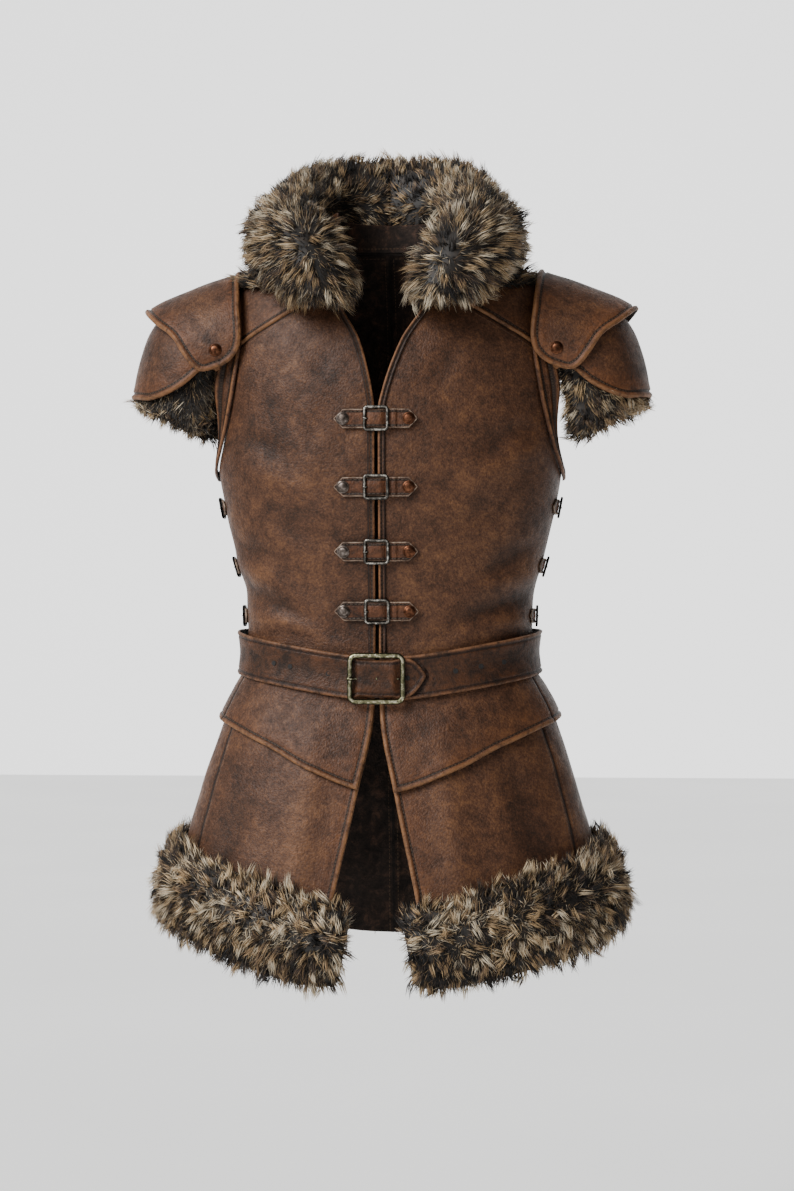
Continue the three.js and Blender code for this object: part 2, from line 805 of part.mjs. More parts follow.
// Shoulder caps: an arch carried along a line that runs out over the arm.
const CAP_LINE = [
  { s: 0, x: 179, z: -24 },
  { s: 60, x: 236, z: -43.5 },
  { s: 100, x: 273, z: -57 },
  { s: 122, x: 292, z: -68 },
];
const ARM_LINE = [
  { s: 0, x: 181, z: -29 },
  { s: 50, x: 228, z: -46 },
  { s: 84, x: 259, z: -62 },
  { s: 112, x: 281, z: -82 },
  { s: 138, x: 295, z: -105 },
  { s: 170, x: 304, z: -136 },
  { s: 212, x: 311, z: -178 },
  { s: 240, x: 313, z: -206 },
  { s: 300, x: 314, z: -266 },
];
const CAP_EDGE = [
  { turn: 0, inner: 0, outer: 122 },
  { turn: 20, inner: 1, outer: 120 },
  { turn: 45, inner: 5, outer: 115 },
  { turn: 65, inner: 11, outer: 106 },
  { turn: 80, inner: 16, outer: 97 },
  { turn: 92, inner: 24, outer: 88 },
  { turn: 99, inner: 40, outer: 76 },
  { turn: 100.5, inner: 50, outer: 68 },
];
const ARM_EDGE = [
  { turn: 0, inner: 6, outer: 210 },
  { turn: 30, inner: 7, outer: 211 },
  { turn: 48, inner: 9, outer: 212 },
  { turn: 60, inner: 24, outer: 208 },
  { turn: 80, inner: 38, outer: 190 },
  { turn: 95, inner: 50, outer: 160 },
  { turn: 108, inner: 64, outer: 110 },
];
const FUR_EDGE = [
  { turn: 0, inner: 14, outer: 216 },
  { turn: 30, inner: 18, outer: 220 },
  { turn: 50, inner: 26, outer: 228 },
  { turn: 68, inner: 40, outer: 240 },
  { turn: 85, inner: 60, outer: 256 },
  { turn: 100, inner: 80, outer: 266 },
  { turn: 112, inner: 100, outer: 262 },
];

function archPoint(line, shape, hand, s, turn, out) {
  const step = 3;
  const spot = (at) => new THREE.Vector2(
    through(line, 's', 'x', at),
    through(line, 's', 'z', at),
  );
  const along = spot(s + step).sub(spot(s - step)).normalize();
  const up = new THREE.Vector2(-along.y, along.x);
  const angle = radians(turn);
  const drop = shape.rise * (1 - Math.cos(angle)) - out * Math.cos(angle);
  const wide = mix(shape.wide, shape.end, Math.min(s / shape.reach, 1)) + out;
  const centre = spot(s).addScaledVector(up, -drop);
  return new THREE.Vector3(hand * centre.x, -wide * Math.sin(angle), centre.y);
}

function cap(line, edge, shape, hand, levels) {
  const most = edge[edge.length - 1].turn;
  const turns = shares(shape.rows).map((share) => mix(-most, most, share));
  const place = (turn, v, level) => {
    const inner = through(edge, 'turn', 'inner', Math.abs(turn));
    const outer = through(edge, 'turn', 'outer', Math.abs(turn));
    const out = levels[level];
    return archPoint(line, shape, hand, mix(inner, outer, v), turn, out);
  };
  return sheet(place, turns, shares(shape.columns));
}

const UPPER = { rise: 92, wide: 90, end: 85, reach: 122, rows: 14, columns: 5 };
const LOWER = { rise: 80, wide: 83, end: 80, reach: 212, rows: 12, columns: 9 };
const SLEEVE = { rise: 72, wide: 76, end: 76, reach: 212, rows: 11, columns: 8 };

function caps(hand) {
  const side = handName(hand);
  add(`cap_upper_${side}`, cap(CAP_LINE, CAP_EDGE, UPPER, hand, [-LEATHER, 0]), 'leather');
  add(`cap_lower_${side}`, cap(ARM_LINE, ARM_EDGE, LOWER, hand, [-LEATHER, 0]), 'leather');
  add(`fur_sleeve_${side}`, cap(ARM_LINE, FUR_EDGE, SLEEVE, hand, [-18, -4]), 'fur');
  const rivet = { s: 52, turn: 88 };
  const at = (s, turn, out) => archPoint(CAP_LINE, UPPER, hand, s, turn, out);
  const origin = at(rivet.s, rivet.turn, 0);
  const round = at(rivet.s + 3, rivet.turn, 0).sub(at(rivet.s - 3, rivet.turn, 0)).normalize();
  const away = at(rivet.s, rivet.turn, 5).sub(origin).normalize();
  const up = away.clone().cross(round).normalize();
  const basis = {
    at: (x, y, d) => origin.clone()
      .addScaledVector(round, x).addScaledVector(up, y).addScaledVector(away, d),
  };
  const head = { radius: 7.2, height: 3.4, base: 0.6 };
  add(`cap_rivet_${side}`, dome(basis, 0, 0, head), 'copper');
}

// Fur band round the hem: sections stand off the skirt from edge to centre back.
function furHem(hand) {
  const outline = [
    { up: 0.97, out: 1.6 },
    { up: 0.5, out: 1.6 },
    { up: 0.03, out: 1.6 },
    { up: 0, out: FUR_DEPTH * 0.5 },
    { up: 0.14, out: FUR_DEPTH * 0.87 },
    { up: 0.42, out: FUR_DEPTH },
    { up: 0.7, out: FUR_DEPTH * 0.94 },
    { up: 0.93, out: FUR_DEPTH * 0.66 },
    { up: 1, out: FUR_DEPTH * 0.3 },
  ];
  const rings = shares(26).map((share) => {
    const nearEdge = Math.min(share / 0.05, 1);
    const swell = 0.35 + 0.65 * Math.sqrt(nearEdge * (2 - nearEdge));
    const band = (up) => {
      const mid = -805;
      const start = frontEdgePhi(mid, hand, -20);
      const phi = mix(start, backSeamPhi(mid, hand), share);
      const low = through(FUR_BOTTOM, 'phi', 'z', Math.abs(phi));
      const high = through(FUR_TOP, 'phi', 'z', Math.abs(phi));
      const z = mix(low, high, 0.5 + (up - 0.5) * (0.72 + 0.28 * swell));
      const edge = frontEdgePhi(z, hand, -20);
      return { z, phi: mix(edge, backSeamPhi(z, hand), share) };
    };
    return outline.map((point) => {
      const spot = band(point.up);
      const out = 1.6 + (point.out - 1.6) * swell;
      return onBody(spot.phi, spot.z, out);
    });
  });
  add(`fur_hem_${handName(hand)}`, skin(rings, false), 'fur');
}

// Fur collar: a roll from the front lobe, over the shoulder, to the centre back.
const COLLAR = [
  { t: 0, x: 48, y: -142, z: -78, across: 20, high: 18 },
  { t: 0.06, x: 58, y: -140, z: -66, across: 36, high: 34 },
  { t: 0.16, x: 72, y: -128, z: -44, across: 48, high: 45 },
  { t: 0.3, x: 100, y: -98, z: -13, across: 56, high: 53 },
  { t: 0.45, x: 120, y: -44, z: 6, across: 57, high: 60 },
  { t: 0.6, x: 116, y: 18, z: 26, across: 52, high: 64 },
  { t: 0.75, x: 94, y: 76, z: 46, across: 45, high: 68 },
  { t: 0.88, x: 52, y: 110, z: 54, across: 43, high: 68 },
  { t: 1, x: 0, y: 121, z: 56, across: 42, high: 66 },
];

function outsideBody(point, gap) {
  const turn = Math.atan2(point.x, -point.y) * 180 / Math.PI;
  const free = (z) => {
    const rim = ringPoint(turn, z);
    return Math.hypot(point.x, point.y) - Math.hypot(rim.x, rim.y);
  };
  if (free(point.z) >= gap) {
    return point;
  }
  const sideways = gap - free(point.z);
  let low = point.z;
  let high = 60;
  for (let i = 0; i < 30; i += 1) {
    const middle = (low + high) / 2;
    if (free(middle) >= gap) {
      high = middle;
    } else {
      low = middle;
    }
  }
  if (high - point.z < sideways && high < 55) {
    return point.clone().setZ(high + gap);
  }
  const away = new THREE.Vector3(point.x, point.y, 0).normalize();
  return point.clone().addScaledVector(away, sideways);
}

function furCollar(hand) {
  const sides = 12;
  const at = (t) => new THREE.Vector3(
    through(COLLAR, 't', 'x', t),
    through(COLLAR, 't', 'y', t),
    through(COLLAR, 't', 'z', t),
  );
  const rings = shares(20).map((t) => {
    const centre = at(t);
    const early = Math.max(t - 0.01, 0);
    const late = Math.min(t + 0.01, 1);
    const along = at(late).sub(at(early));
    if (t === 1) {
      along.set(-1, 0, 0);
    }
    along.normalize();
    const out = along.clone().cross(new THREE.Vector3(0, 0, 1)).normalize();
    const up = out.clone().cross(along).normalize();
    const across = through(COLLAR, 't', 'across', t);
    const high = through(COLLAR, 't', 'high', t);
    const shift = CLOSURE_X * Math.min(Math.max((t - 0.5) / 0.4, 0), 1);
    const ring = [];
    for (let j = 0; j < sides; j += 1) {
      const angle = j / sides * 2 * Math.PI;
      const wide = Math.sign(Math.cos(angle)) * Math.abs(Math.cos(angle)) ** 0.95;
      const tall = Math.sign(Math.sin(angle)) * Math.abs(Math.sin(angle)) ** 0.95;
      const point = centre.clone()
        .addScaledVector(out, -wide * across).addScaledVector(up, tall * high);
      point.x = Math.max(point.x, SEAM / 2) * hand + shift;
      const clear = outsideBody(point, 6.5);
      clear.x = hand * Math.max(hand * (clear.x - shift), SEAM / 2) + shift;
      ring.push(clear);
    }
    return ring;
  });
  add(`fur_collar_${handName(hand)}`, skin(rings, false), 'fur');
}

for (const hand of [-1, 1]) {
  frontPanel(hand);
  backPanel(hand);
  yoke(hand);
  skirtPanel(hand, true);
  skirtPanel(hand, false);
  peplum(hand, true);
  peplum(hand, false);
  frontBinding(hand);
  armholeBinding(hand);
  caps(hand);
  furHem(hand);
  furCollar(hand);
  SIDE_ROWS.forEach((row) => sideFastening(hand, row));
}
collarBand();
belt();
beltBuckle();
CLOSURES.forEach(closure);

export default group;
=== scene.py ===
import bpy
import numpy as np
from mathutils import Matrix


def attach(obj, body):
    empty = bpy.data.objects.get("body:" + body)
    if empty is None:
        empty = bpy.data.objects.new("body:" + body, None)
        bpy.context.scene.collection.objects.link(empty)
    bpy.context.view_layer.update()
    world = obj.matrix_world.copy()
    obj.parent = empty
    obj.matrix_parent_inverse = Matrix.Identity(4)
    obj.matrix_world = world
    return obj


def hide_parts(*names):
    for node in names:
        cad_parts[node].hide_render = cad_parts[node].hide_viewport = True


# Leather costume vest with fur collar and hem, in worn form. Shapes are worked out in
# millimetres and go to metres as each mesh is made. The front faces -Y and up is +Z.
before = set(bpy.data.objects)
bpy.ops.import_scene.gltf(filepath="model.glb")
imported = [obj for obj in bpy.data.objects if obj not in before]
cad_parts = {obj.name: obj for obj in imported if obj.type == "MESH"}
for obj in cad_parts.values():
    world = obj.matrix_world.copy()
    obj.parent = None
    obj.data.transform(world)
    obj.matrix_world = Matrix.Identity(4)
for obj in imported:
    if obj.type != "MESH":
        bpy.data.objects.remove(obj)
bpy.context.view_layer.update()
print("vest: frame loaded")

rng = np.random.default_rng(20)
closureX = -7.0      # the front closing stands this far to the wearer's right
leatherThick = 2.6   # millimetres
bodyFoot, bodyTop = -900, 50   # heights that the body's table covers
hands = {"right": -1, "left": 1}


# sRGB hex to linear: each channel is run backwards through the sRGB curve.
def hexColour(text):
    parts = [int(text[i:i + 2], 16) / 255 for i in (1, 3, 5)]
    linear = [c / 12.92 if c <= 0.04045 else ((c + 0.055) / 1.055) ** 2.4 for c in parts]
    return (*linear, 1.0)


# Adds one node and gives the asked output. Inputs are values or other nodes' outputs, in
# order or by name, stops are a colour band's, and the rest sets the node's properties.
def addNode(tree, kind, inputs=(), output=0, stops=(), **settings):
    made = tree.nodes.new("ShaderNode" + kind)
    for key, value in settings.items():
        setattr(made, key, value)
    for number, (at, colour) in enumerate(stops):
        band = made.color_ramp.elements
        stop = band[number] if number < 2 else band.new(at)
        stop.position, stop.color = at, hexColour(colour)
    pairs = inputs.items() if isinstance(inputs, dict) else enumerate(inputs)
    for key, value in pairs:
        if isinstance(value, bpy.types.NodeSocket):
            tree.links.new(value, made.inputs[key])
        elif value is not None:
            made.inputs[key].default_value = value
    return made.outputs[output] if len(made.outputs) else made


# Smooth rise from 0 at low to 1 at high: three squares less two cubes of the share.
def smoothStep(low, high, x):
    t = np.clip((x - low) / (high - low), 0, 1)
    return t * t * (3 - 2 * t)


# Straight mix: the start plus the share of the way to the end.
def mix(start, end, share):
    return start + (end - start) * share


# Bell: e to the minus square of the distance from the middle in widths.
def bell(x, middle, width):
    return np.exp(-((x - middle) / width) ** 2)


# Direction of length one: each vector over its own length.
def unit(v):
    return v / np.maximum(np.linalg.norm(v, axis=-1, keepdims=True), 1e-9)


# Smooth curve through a table's column with no overshoot: a cubic between each pair of
# rows, whose end slopes are harmonic means of the slopes on both sides.
def through(table, column, x):
    xs, ys = table[:, 0], table[:, column]
    rise = np.diff(ys) / np.diff(xs)
    slope = np.concatenate([rise[:1], np.zeros(len(ys) - 2), rise[-1:]])
    product, total = rise[:-1] * rise[1:], rise[:-1] + rise[1:]
    slope[1:-1] = np.where(product > 0, 2 * product / np.where(product > 0, total, 1), 0)
    x = np.clip(x, xs[0], xs[-1])
    i = np.clip(np.searchsorted(xs, x, side="right") - 1, 0, len(xs) - 2)
    width, step = xs[i + 1] - xs[i], ys[i + 1] - ys[i]
    s = (x - xs[i]) / width
    a, b = slope[i] * width, slope[i + 1] * width
    return ys[i] + s * step + s * (1 - s) * ((a - step) * (1 - s) + (step - b) * s)


# Shares from 0 to 1 about step apart, with closer lines near both ends for a turned edge.
def shares(length, step, near=(1.1, 2.2, 3.4, 4.7, 6, 7.3, 9)):
    ends = np.array([n for n in near if n < length * 0.42]) / length
    if not len(ends):
        return np.linspace(0, 1, max(int(length / step), 1) + 1)
    count = max(int(round((1 - 2 * ends[-1]) * length / step)), 1)
    middle = np.linspace(ends[-1], 1 - ends[-1], count + 1)
    return np.concatenate([[0], ends[:-1], middle, 1 - ends[:-1][::-1], [1]])


# Name of the solid that a piece stands for, such as front_right for frontRight: each
# capital letter becomes a low line and its small letter.
def cadName(piece):
    return "".join("_" + c.lower() if c.isupper() else c for c in piece)


# Puts point and face arrays into a mesh. Faces come as arrays of quads or triangles,
# values are one number per point, and uv is a name and two numbers per point.
def makeMesh(name, points, faces, material, nodes, values=None, uv=None, slot=None):
    mesh = bpy.data.meshes.new(name)
    loops = np.concatenate([f.ravel() for f in faces]).astype(np.int32)
    sizes = np.concatenate([np.full(len(f), f.shape[1]) for f in faces]).astype(np.int32)
    mesh.vertices.add(len(points))
    mesh.vertices.foreach_set("co", (points * 0.001).astype(np.float32).ravel())
    mesh.loops.add(len(loops))
    mesh.loops.foreach_set("vertex_index", loops)
    mesh.polygons.add(len(sizes))
    starts = np.concatenate([[0], np.cumsum(sizes)[:-1]]).astype(np.int32)
    mesh.polygons.foreach_set("loop_start", starts)
    mesh.polygons.foreach_set("loop_total", sizes)
    for key, value in (values or {}).items():
        held = mesh.attributes.new(key, "FLOAT", "POINT")
        held.data.foreach_set("value", value.astype(np.float32).ravel())
    if uv is not None:
        layer = mesh.uv_layers.new(name=uv[0])
        layer.data.foreach_set("uv", uv[1][loops].astype(np.float32).ravel())
    mesh.update(calc_edges=True)
    mesh.polygons.foreach_set("use_smooth", np.ones(len(sizes), bool))
    made = bpy.data.objects.new(name, mesh)
    bpy.context.scene.collection.objects.link(made)
    mesh.materials.append(material)
    if volumeOf(points, faces) < 0:
        mesh.flip_normals()
    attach(made, "root")
    if nodes:
        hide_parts(*nodes)
    return made


# Enclosed volume: each face fan's triangles with the origin, a dot b cross c over six.
def volumeOf(points, faces):
    total = 0.0
    for group in faces:
        for k in range(1, group.shape[1] - 1):
            a, b, c = points[group[:, 0]], points[group[:, k]], points[group[:, k + 1]]
            total += float((np.cross(a, b) * c).sum()) / 6
    return total


# Quads of a grid of points; a looped grid joins its last column to its first.
def gridFaces(rows, columns, loop=False):
    i, j = np.meshgrid(np.arange(rows - 1), np.arange(columns if loop else columns - 1),
                       indexing="ij")
    k = (j + 1) % columns
    quads = np.stack([i * columns + j, (i + 1) * columns + j, (i + 1) * columns + k,
                      i * columns + k], -1)
    return quads.reshape(-1, 4)


# Point numbers round a grid's border, in order.
def borderOf(rows, columns):
    return np.concatenate([
        np.arange(columns),
        np.arange(1, rows) * columns + columns - 1,
        (rows - 1) * columns + np.arange(columns - 2, -1, -1),
        np.arange(rows - 2, 0, -1) * columns,
    ])


# Distance from every grid point to the chosen sides of the grid, and how far along
# that side the nearest place is. Sides: l and r at u 0 and 1, b and t at v 0 and 1.
def distanceTo(grid, sides):
    lines = {"l": grid[0], "r": grid[-1], "b": grid[:, 0], "t": grid[:, -1]}
    spots, runs, start = [], [], 0.0
    for side in sides:
        line = lines[side]
        lengths = np.linalg.norm(np.diff(line, axis=0), axis=1)
        steps = np.concatenate([[0], np.cumsum(lengths)])
        at = np.linspace(0, steps[-1], max(int(steps[-1] / 1.5), 2))
        spots.append(np.stack([np.interp(at, steps, line[:, k]) for k in range(3)], 1))
        runs.append(at + start)
        start += steps[-1] + 50         # the next side's stitches start afresh
    if not spots:                       # no such side: far away from every point
        return np.full(grid.shape[:2], 300.0), np.zeros(grid.shape[:2])
    spots, runs = np.concatenate(spots), np.concatenate(runs)
    flat = grid.reshape(-1, 3)
    squares = (flat ** 2).sum(1)[:, None] + (spots ** 2).sum(1)[None] - 2 * flat @ spots.T
    nearest = squares.argmin(1)
    far = np.linalg.norm(flat - spots[nearest], axis=1)
    return far.reshape(grid.shape[:2]), runs[nearest].reshape(grid.shape[:2])


# A leather wall between two faces of place(u, v, out), which are out 0 and minus the
# thickness. Finished sides get a rolled rim and a pressed stitch line, sewn sides dip:
# each is a bell of the distance from that side. Its rim bulges by 0.28 of the wall.
def shell(name, place, us, vs, material, nodes, finished="", sewn="", roll=None,
          thick=leatherThick, dip=0.9, held=None, slot="leather", extra=None):
    u, v = np.meshgrid(us, vs, indexing="ij")
    flat = place(u, v, 0 * u)
    edge, edgeRun = distanceTo(flat, finished)
    seam, seamRun = distanceTo(flat, sewn)
    lift = -dip * bell(seam, 0, 2.6)
    if roll and finished:
        lift = lift + roll["high"] * bell(edge, roll["at"], roll["wide"])
        lift = lift - roll["groove"] * bell(edge, roll["grooveAt"], roll["grooveWide"])
        lift = lift + roll["second"] * bell(edge, roll["secondAt"], roll["wide"])
    if extra is not None:
        lift = lift + extra(u, v, flat)
    outer, inner = place(u, v, lift), place(u, v, np.minimum(lift, 0) - thick)
    rows, columns = u.shape
    count, rim = rows * columns, borderOf(rows, columns)
    inside = outer.copy()
    inside[0], inside[-1] = outer[1], outer[-2]
    inside[1:-1, 0], inside[1:-1, -1] = outer[1:-1, 1], outer[1:-1, -2]
    top, foot = outer.reshape(-1, 3)[rim], inner.reshape(-1, 3)[rim]
    away = unit(top - inside.reshape(-1, 3)[rim])
    middle = (top + foot) / 2 + away * thick * 0.28
    points = np.concatenate([outer.reshape(-1, 3), inner.reshape(-1, 3), middle])
    ring = np.arange(len(rim))
    after = np.roll(ring, -1)
    faces = np.concatenate([
        gridFaces(rows, columns),
        gridFaces(rows, columns)[:, ::-1] + count,
        np.stack([rim, rim[after], 2 * count + after, 2 * count + ring], 1),
        np.stack([2 * count + ring, 2 * count + after, count + rim[after], count + rim], 1),
    ])
    spread = lambda g: np.concatenate([g.ravel(), g.ravel(), g.ravel()[rim]])
    values = {
        "edge": spread(edge),
        "seam": spread(seam),
        "run": spread(np.where(edge < seam, edgeRun, seamRun)),
        # crease height, which the leather's colour turns into painted light and shade
        "fold": spread(foldOf(flat)),
        "inside": np.concatenate([np.zeros(count), np.ones(count), np.full(len(rim), 0.4)]),
    }
    made = makeMesh(name, points, [faces], material, nodes, values, slot=slot)
    if held:
        wide = np.linalg.norm(np.diff(flat, axis=0), axis=2).sum(0).max()
        long = np.linalg.norm(np.diff(flat, axis=1), axis=2).sum(1).max()
    return made


seamGap = 0.15       # half the gap that two sewn panels leave
# degrees from the front at which side seams stand, and half the gaps that they leave
seams = {"side": 90, "skirt": 71, "peplum": 76, "sideGap": 0.25, "flareGap": 0.06}

# the worn body: z, half width, depth to the front, depth to the back, squareness
bodySections = np.array([
    [-900, 287, 176, 174, 2.3],
    [-800, 266, 163, 162, 2.3],
    [-700, 241, 149, 148, 2.35],
    [-616, 216, 134, 132, 2.4],
    [-562, 199, 122, 121, 2.4],
    [-540, 191, 115, 117, 2.4],
    [-522, 182, 112.5, 112, 2.4],
    [-502, 172, 112, 107.5, 2.4],
    [-460, 170, 112, 106, 2.4],
    [-418, 171, 115, 109, 2.4],
    [-364, 184, 121, 116, 2.4],
    [-310, 197, 127, 123, 2.4],
    [-256, 205, 130, 128, 2.4],
    [-180, 204, 128, 131, 2.4],
    [-130, 204, 122, 130, 2.4],
    [-90, 203, 112, 126, 2.3],
    [-62, 199, 101, 118, 2.2],
    [-48, 191, 95, 112, 2.15],
    [-36, 174, 89, 105, 2.1],
    [-24, 144, 82, 97, 2.1],
    [-12, 110, 73, 88, 2.1],
    [0, 80, 64, 80, 2.1],
    [12, 71, 60, 76, 2.1],
    [50, 72, 60, 78, 2.1],
])
# share of the way round the armhole, angle from the front centre, z
armhole = np.array([
    [0, 90, -268],
    [0.06, 82, -259],
    [0.13, 75.5, -236],
    [0.22, 71, -198],
    [0.31, 68, -158],
    [0.38, 67, -120],
    [0.44, 70, -84],
    [0.48, 78, -54],
    [0.52, 90, -43],
    [0.56, 102, -52],
    [0.61, 110, -80],
    [0.67, 113, -115],
    [0.76, 112, -160],
    [0.86, 108, -208],
    [0.94, 101, -250],
    [1, 90, -268],
])
# share from the front yoke seam to the back one, angle, z
neckline = np.array([
    [0, 34.6, -52],
    [0.2, 44, -29],
    [0.4, 58, -9],
    [0.65, 90, -1],
    [1, 128, 6],
])
# angle, z
peplumEdge = np.array([
    [0, -640], [10, -636], [36, -612], [54, -586], [75, -563], [90, -557], [135, -568],
    [182, -580],
])
furTop = np.array([
    [0, -762], [25, -756], [50, -733], [70, -714], [90, -694], [120, -700], [182, -722],
])
furBottom = np.array([
    [0, -865], [20, -862], [35, -854], [50, -842], [70, -821], [90, -802], [120, -805],
    [182, -830],
])
# angle, how much higher the wearer's right half of the band stands, share of its depth
rightLift = np.array([
    [0, 0, 1], [28, 1, 1], [50, 7, 0.9], [70, 10, 0.86], [100, 7, 0.86], [140, 0, 1],
    [182, 0, 1],
])

# Creases listed: angle and z at both ends, height, half width, bow. Minus is a dip.
creases = np.array([
    [84, -410, 34, -452, -2.9, 9, 7],
    [86, -384, 40, -418, 2.4, 10, 8],
    [80, -436, 24, -476, 2.6, 8, 6],
    [78, -350, 50, -392, -2.0, 11, 9],
    [64, -440, 22, -462, -1.9, 7, -5],
    [66, -214, 44, -262, -1.7, 10, 12],
    [70, -240, 36, -300, 1.6, 12, 10],
    [40, -120, 26, -190, -1.1, 12, 6],
    [52, -300, 20, -342, -1.1, 10, -7],
    [-85, -400, -36, -448, -2.7, 9, -8],
    [-84, -372, -44, -420, 2.2, 11, -9],
    [-82, -434, -20, -472, 2.7, 8, -7],
    [-74, -352, -46, -380, -1.7, 10, -8],
    [-58, -446, -18, -458, -1.7, 6, 5],
    [-68, -226, -40, -270, -1.8, 10, -11],
    [-70, -256, -30, -318, 1.5, 12, -9],
    [-44, -110, -24, -176, -1.2, 12, -6],
    [-56, -316, -24, -352, -1.0, 9, 6],
    [100, -400, 150, -446, -2.8, 10, -8],
    [98, -428, 140, -466, 2.4, 8, -6],
    [104, -300, 150, -352, -1.9, 12, -10],
    [150, -130, 158, -290, 1.6, 14, 6],
    [120, -150, 150, -210, -1.3, 12, 8],
    [-100, -392, -146, -440, -2.7, 10, 8],
    [-97, -430, -136, -462, 2.3, 8, 6],
    [-106, -286, -154, -344, -1.8, 12, 9],
    [-150, -140, -162, -280, 1.5, 14, -6],
    [-122, -160, -148, -226, -1.2, 11, -8],
    [30, -560, 38, -850, 2.6, 17, 8],
    [52, -580, 58, -850, -2.8, 15, -8],
    [78, -560, 84, -830, 2.6, 18, 7],
    [-34, -560, -40, -850, 2.8, 17, -8],
    [-54, -600, -60, -850, -2.6, 15, 8],
    [-80, -560, -84, -830, 2.4, 18, -6],
    [104, -570, 110, -830, -3.4, 17, 8],
    [130, -560, 134, -840, 3.6, 18, -9],
    [158, -600, 164, -840, -4.2, 14, 7],
    [171, -560, 176, -840, 2.6, 10, -7],
    [-108, -580, -112, -830, -3.2, 17, -8],
    [-132, -560, -138, -840, 3.8, 18, 9],
    [-160, -620, -166, -840, -4.0, 13, -8],
    [-174, -640, -170, -780, -2.8, 9, 5],
])
creaseGain = 1.35    # every crease is this much higher than its row says
swellWaves = rng.normal(size=(12, 3)) * 2 * np.pi / 105     # waves about 105 mm long
swellPhases = rng.uniform(0, 2 * np.pi, 12)


# Sum of soft dips and ridges, each a bell across a bowed line that fades at its ends.
def creaseHeight(phi, z, degree=2.5):
    around = (phi + 180) % 360 - 180
    height = np.zeros(np.shape(phi))
    for p0, z0, p1, z1, high, wide, bow in creases:
        line = np.array([(p1 - p0) * degree, z1 - z0])
        length = np.hypot(*line)
        dx, dz = (around - p0) * degree, z - z0
        t = (dx * line[0] + dz * line[1]) / length ** 2
        off = (dx * line[1] - dz * line[0]) / length - bow * 4 * t * (1 - t)
        fade = smoothStep(-0.12, 0.3, t) * (1 - smoothStep(0.6, 1.15, t))
        height = height + creaseGain * high * fade * bell(off, 0, wide)
    return height


# Soft uneven swell: twelve long sine waves in random directions, added up over root 12.
def swell(points):
    return np.sin(points @ swellWaves.T + swellPhases).sum(-1) / np.sqrt(12)


# How far a place stands out or in: its creases' height and half of the swell.
def foldOf(points):
    phi = np.degrees(np.arctan2(points[..., 0], -points[..., 1]))
    return creaseHeight(phi, points[..., 2]) + 0.5 * swell(points)


# Superellipse: the across and along shares of a direction, each to the power of the
# section's squareness, add up to the radius to the power of minus that squareness.
def ringPoint(phi, z):
    phi, z = np.broadcast_arrays(np.asarray(phi, float), np.asarray(z, float))
    side, front, back, square = (through(bodySections, k, z) for k in (1, 2, 3, 4))
    across, along = np.sin(np.radians(phi)), np.cos(np.radians(phi))
    depth = np.where(along > 0, front, back)
    total = np.abs(across / side) ** square + np.abs(along / depth) ** square
    radius = total ** (-1 / square)
    return np.stack([radius * across, -radius * along, z], -1)


# Outward direction: the cross product of a step round the ring and a step up.
def bodyNormal(phi, z):
    around = ringPoint(phi + 0.5, z) - ringPoint(phi - 0.5, z)
    return unit(np.cross(around, ringPoint(phi, z + 1.0) - ringPoint(phi, z - 1.0)))


# A point of the worn surface moved out along its normal, with creases and swell.
def onBody(phi, z, out=0.0, creased=1.0):
    phi, z = np.broadcast_arrays(np.asarray(phi, float), np.asarray(z, float))
    base = ringPoint(phi, z)
    level = out + creased * (creaseHeight(phi, z) + 0.5 * swell(base))
    return base + bodyNormal(phi, z) * np.asarray(level)[..., None]


# Angle of the front surface at a given x: the superellipse solved for its depth, and
# the arctangent of x over that depth.
def phiAtX(x, z):
    side, front, _, square = (through(bodySections, k, z) for k in (1, 2, 3, 4))
    depth = front * (1 - np.abs(x / side) ** square) ** (1 / square)
    return np.degrees(np.arctan2(x, depth))


# Angle of the centre-back seam: as on the front, but on the back's depth, and counted on
# past 180 degrees where it lies beyond the middle.
def backSeamPhi(z, hand, gap=seamGap):
    side, _, back, square = (through(bodySections, k, z) for k in (1, 2, 3, 4))
    x = closureX + hand * gap
    depth = back * (1 - np.abs(x / side) ** square) ** (1 / square)
    angle = np.degrees(np.arctan2(x, -depth))
    return np.where(angle * hand < 0, angle + hand * 360, angle)


# z, half opening between the two front edges
frontGap = np.array([
    [-900, 74], [-760, 48], [-641, 22], [-545, 4], [-500, 3], [-196, 3], [-183, 5],
    [-119, 24], [-76, 50], [-52, float(ringPoint(34.6, -52)[0])],
])


# Angle of a front edge: half the opening beside the closing line, which comes back to
# the middle from the breast up.
def frontEdgePhi(z, hand, inset=0.0):
    rise = np.clip((z + 190) / 138, 0, 1)
    gap = through(frontGap, 1, z) + inset
    return phiAtX(closureX * (1 - rise) + hand * gap, z)


# Height of the waist seam: low in front and a little high behind, by powers of the
# cosine of the angle.
def waistZ(phi):
    forward = np.cos(np.radians(phi))
    return -478 - 30 * np.maximum(forward, 0) ** 1.5 + 6 * np.maximum(-forward, 0) ** 1.5


# Height of the skirt's cut edge, low in front and behind and high at the sides.
def hemZ(phi):
    forward = np.cos(np.radians(phi))
    return -795 - 54 * np.maximum(forward, 0) ** 1.3 - 42 * np.maximum(-forward, 0) ** 1.3


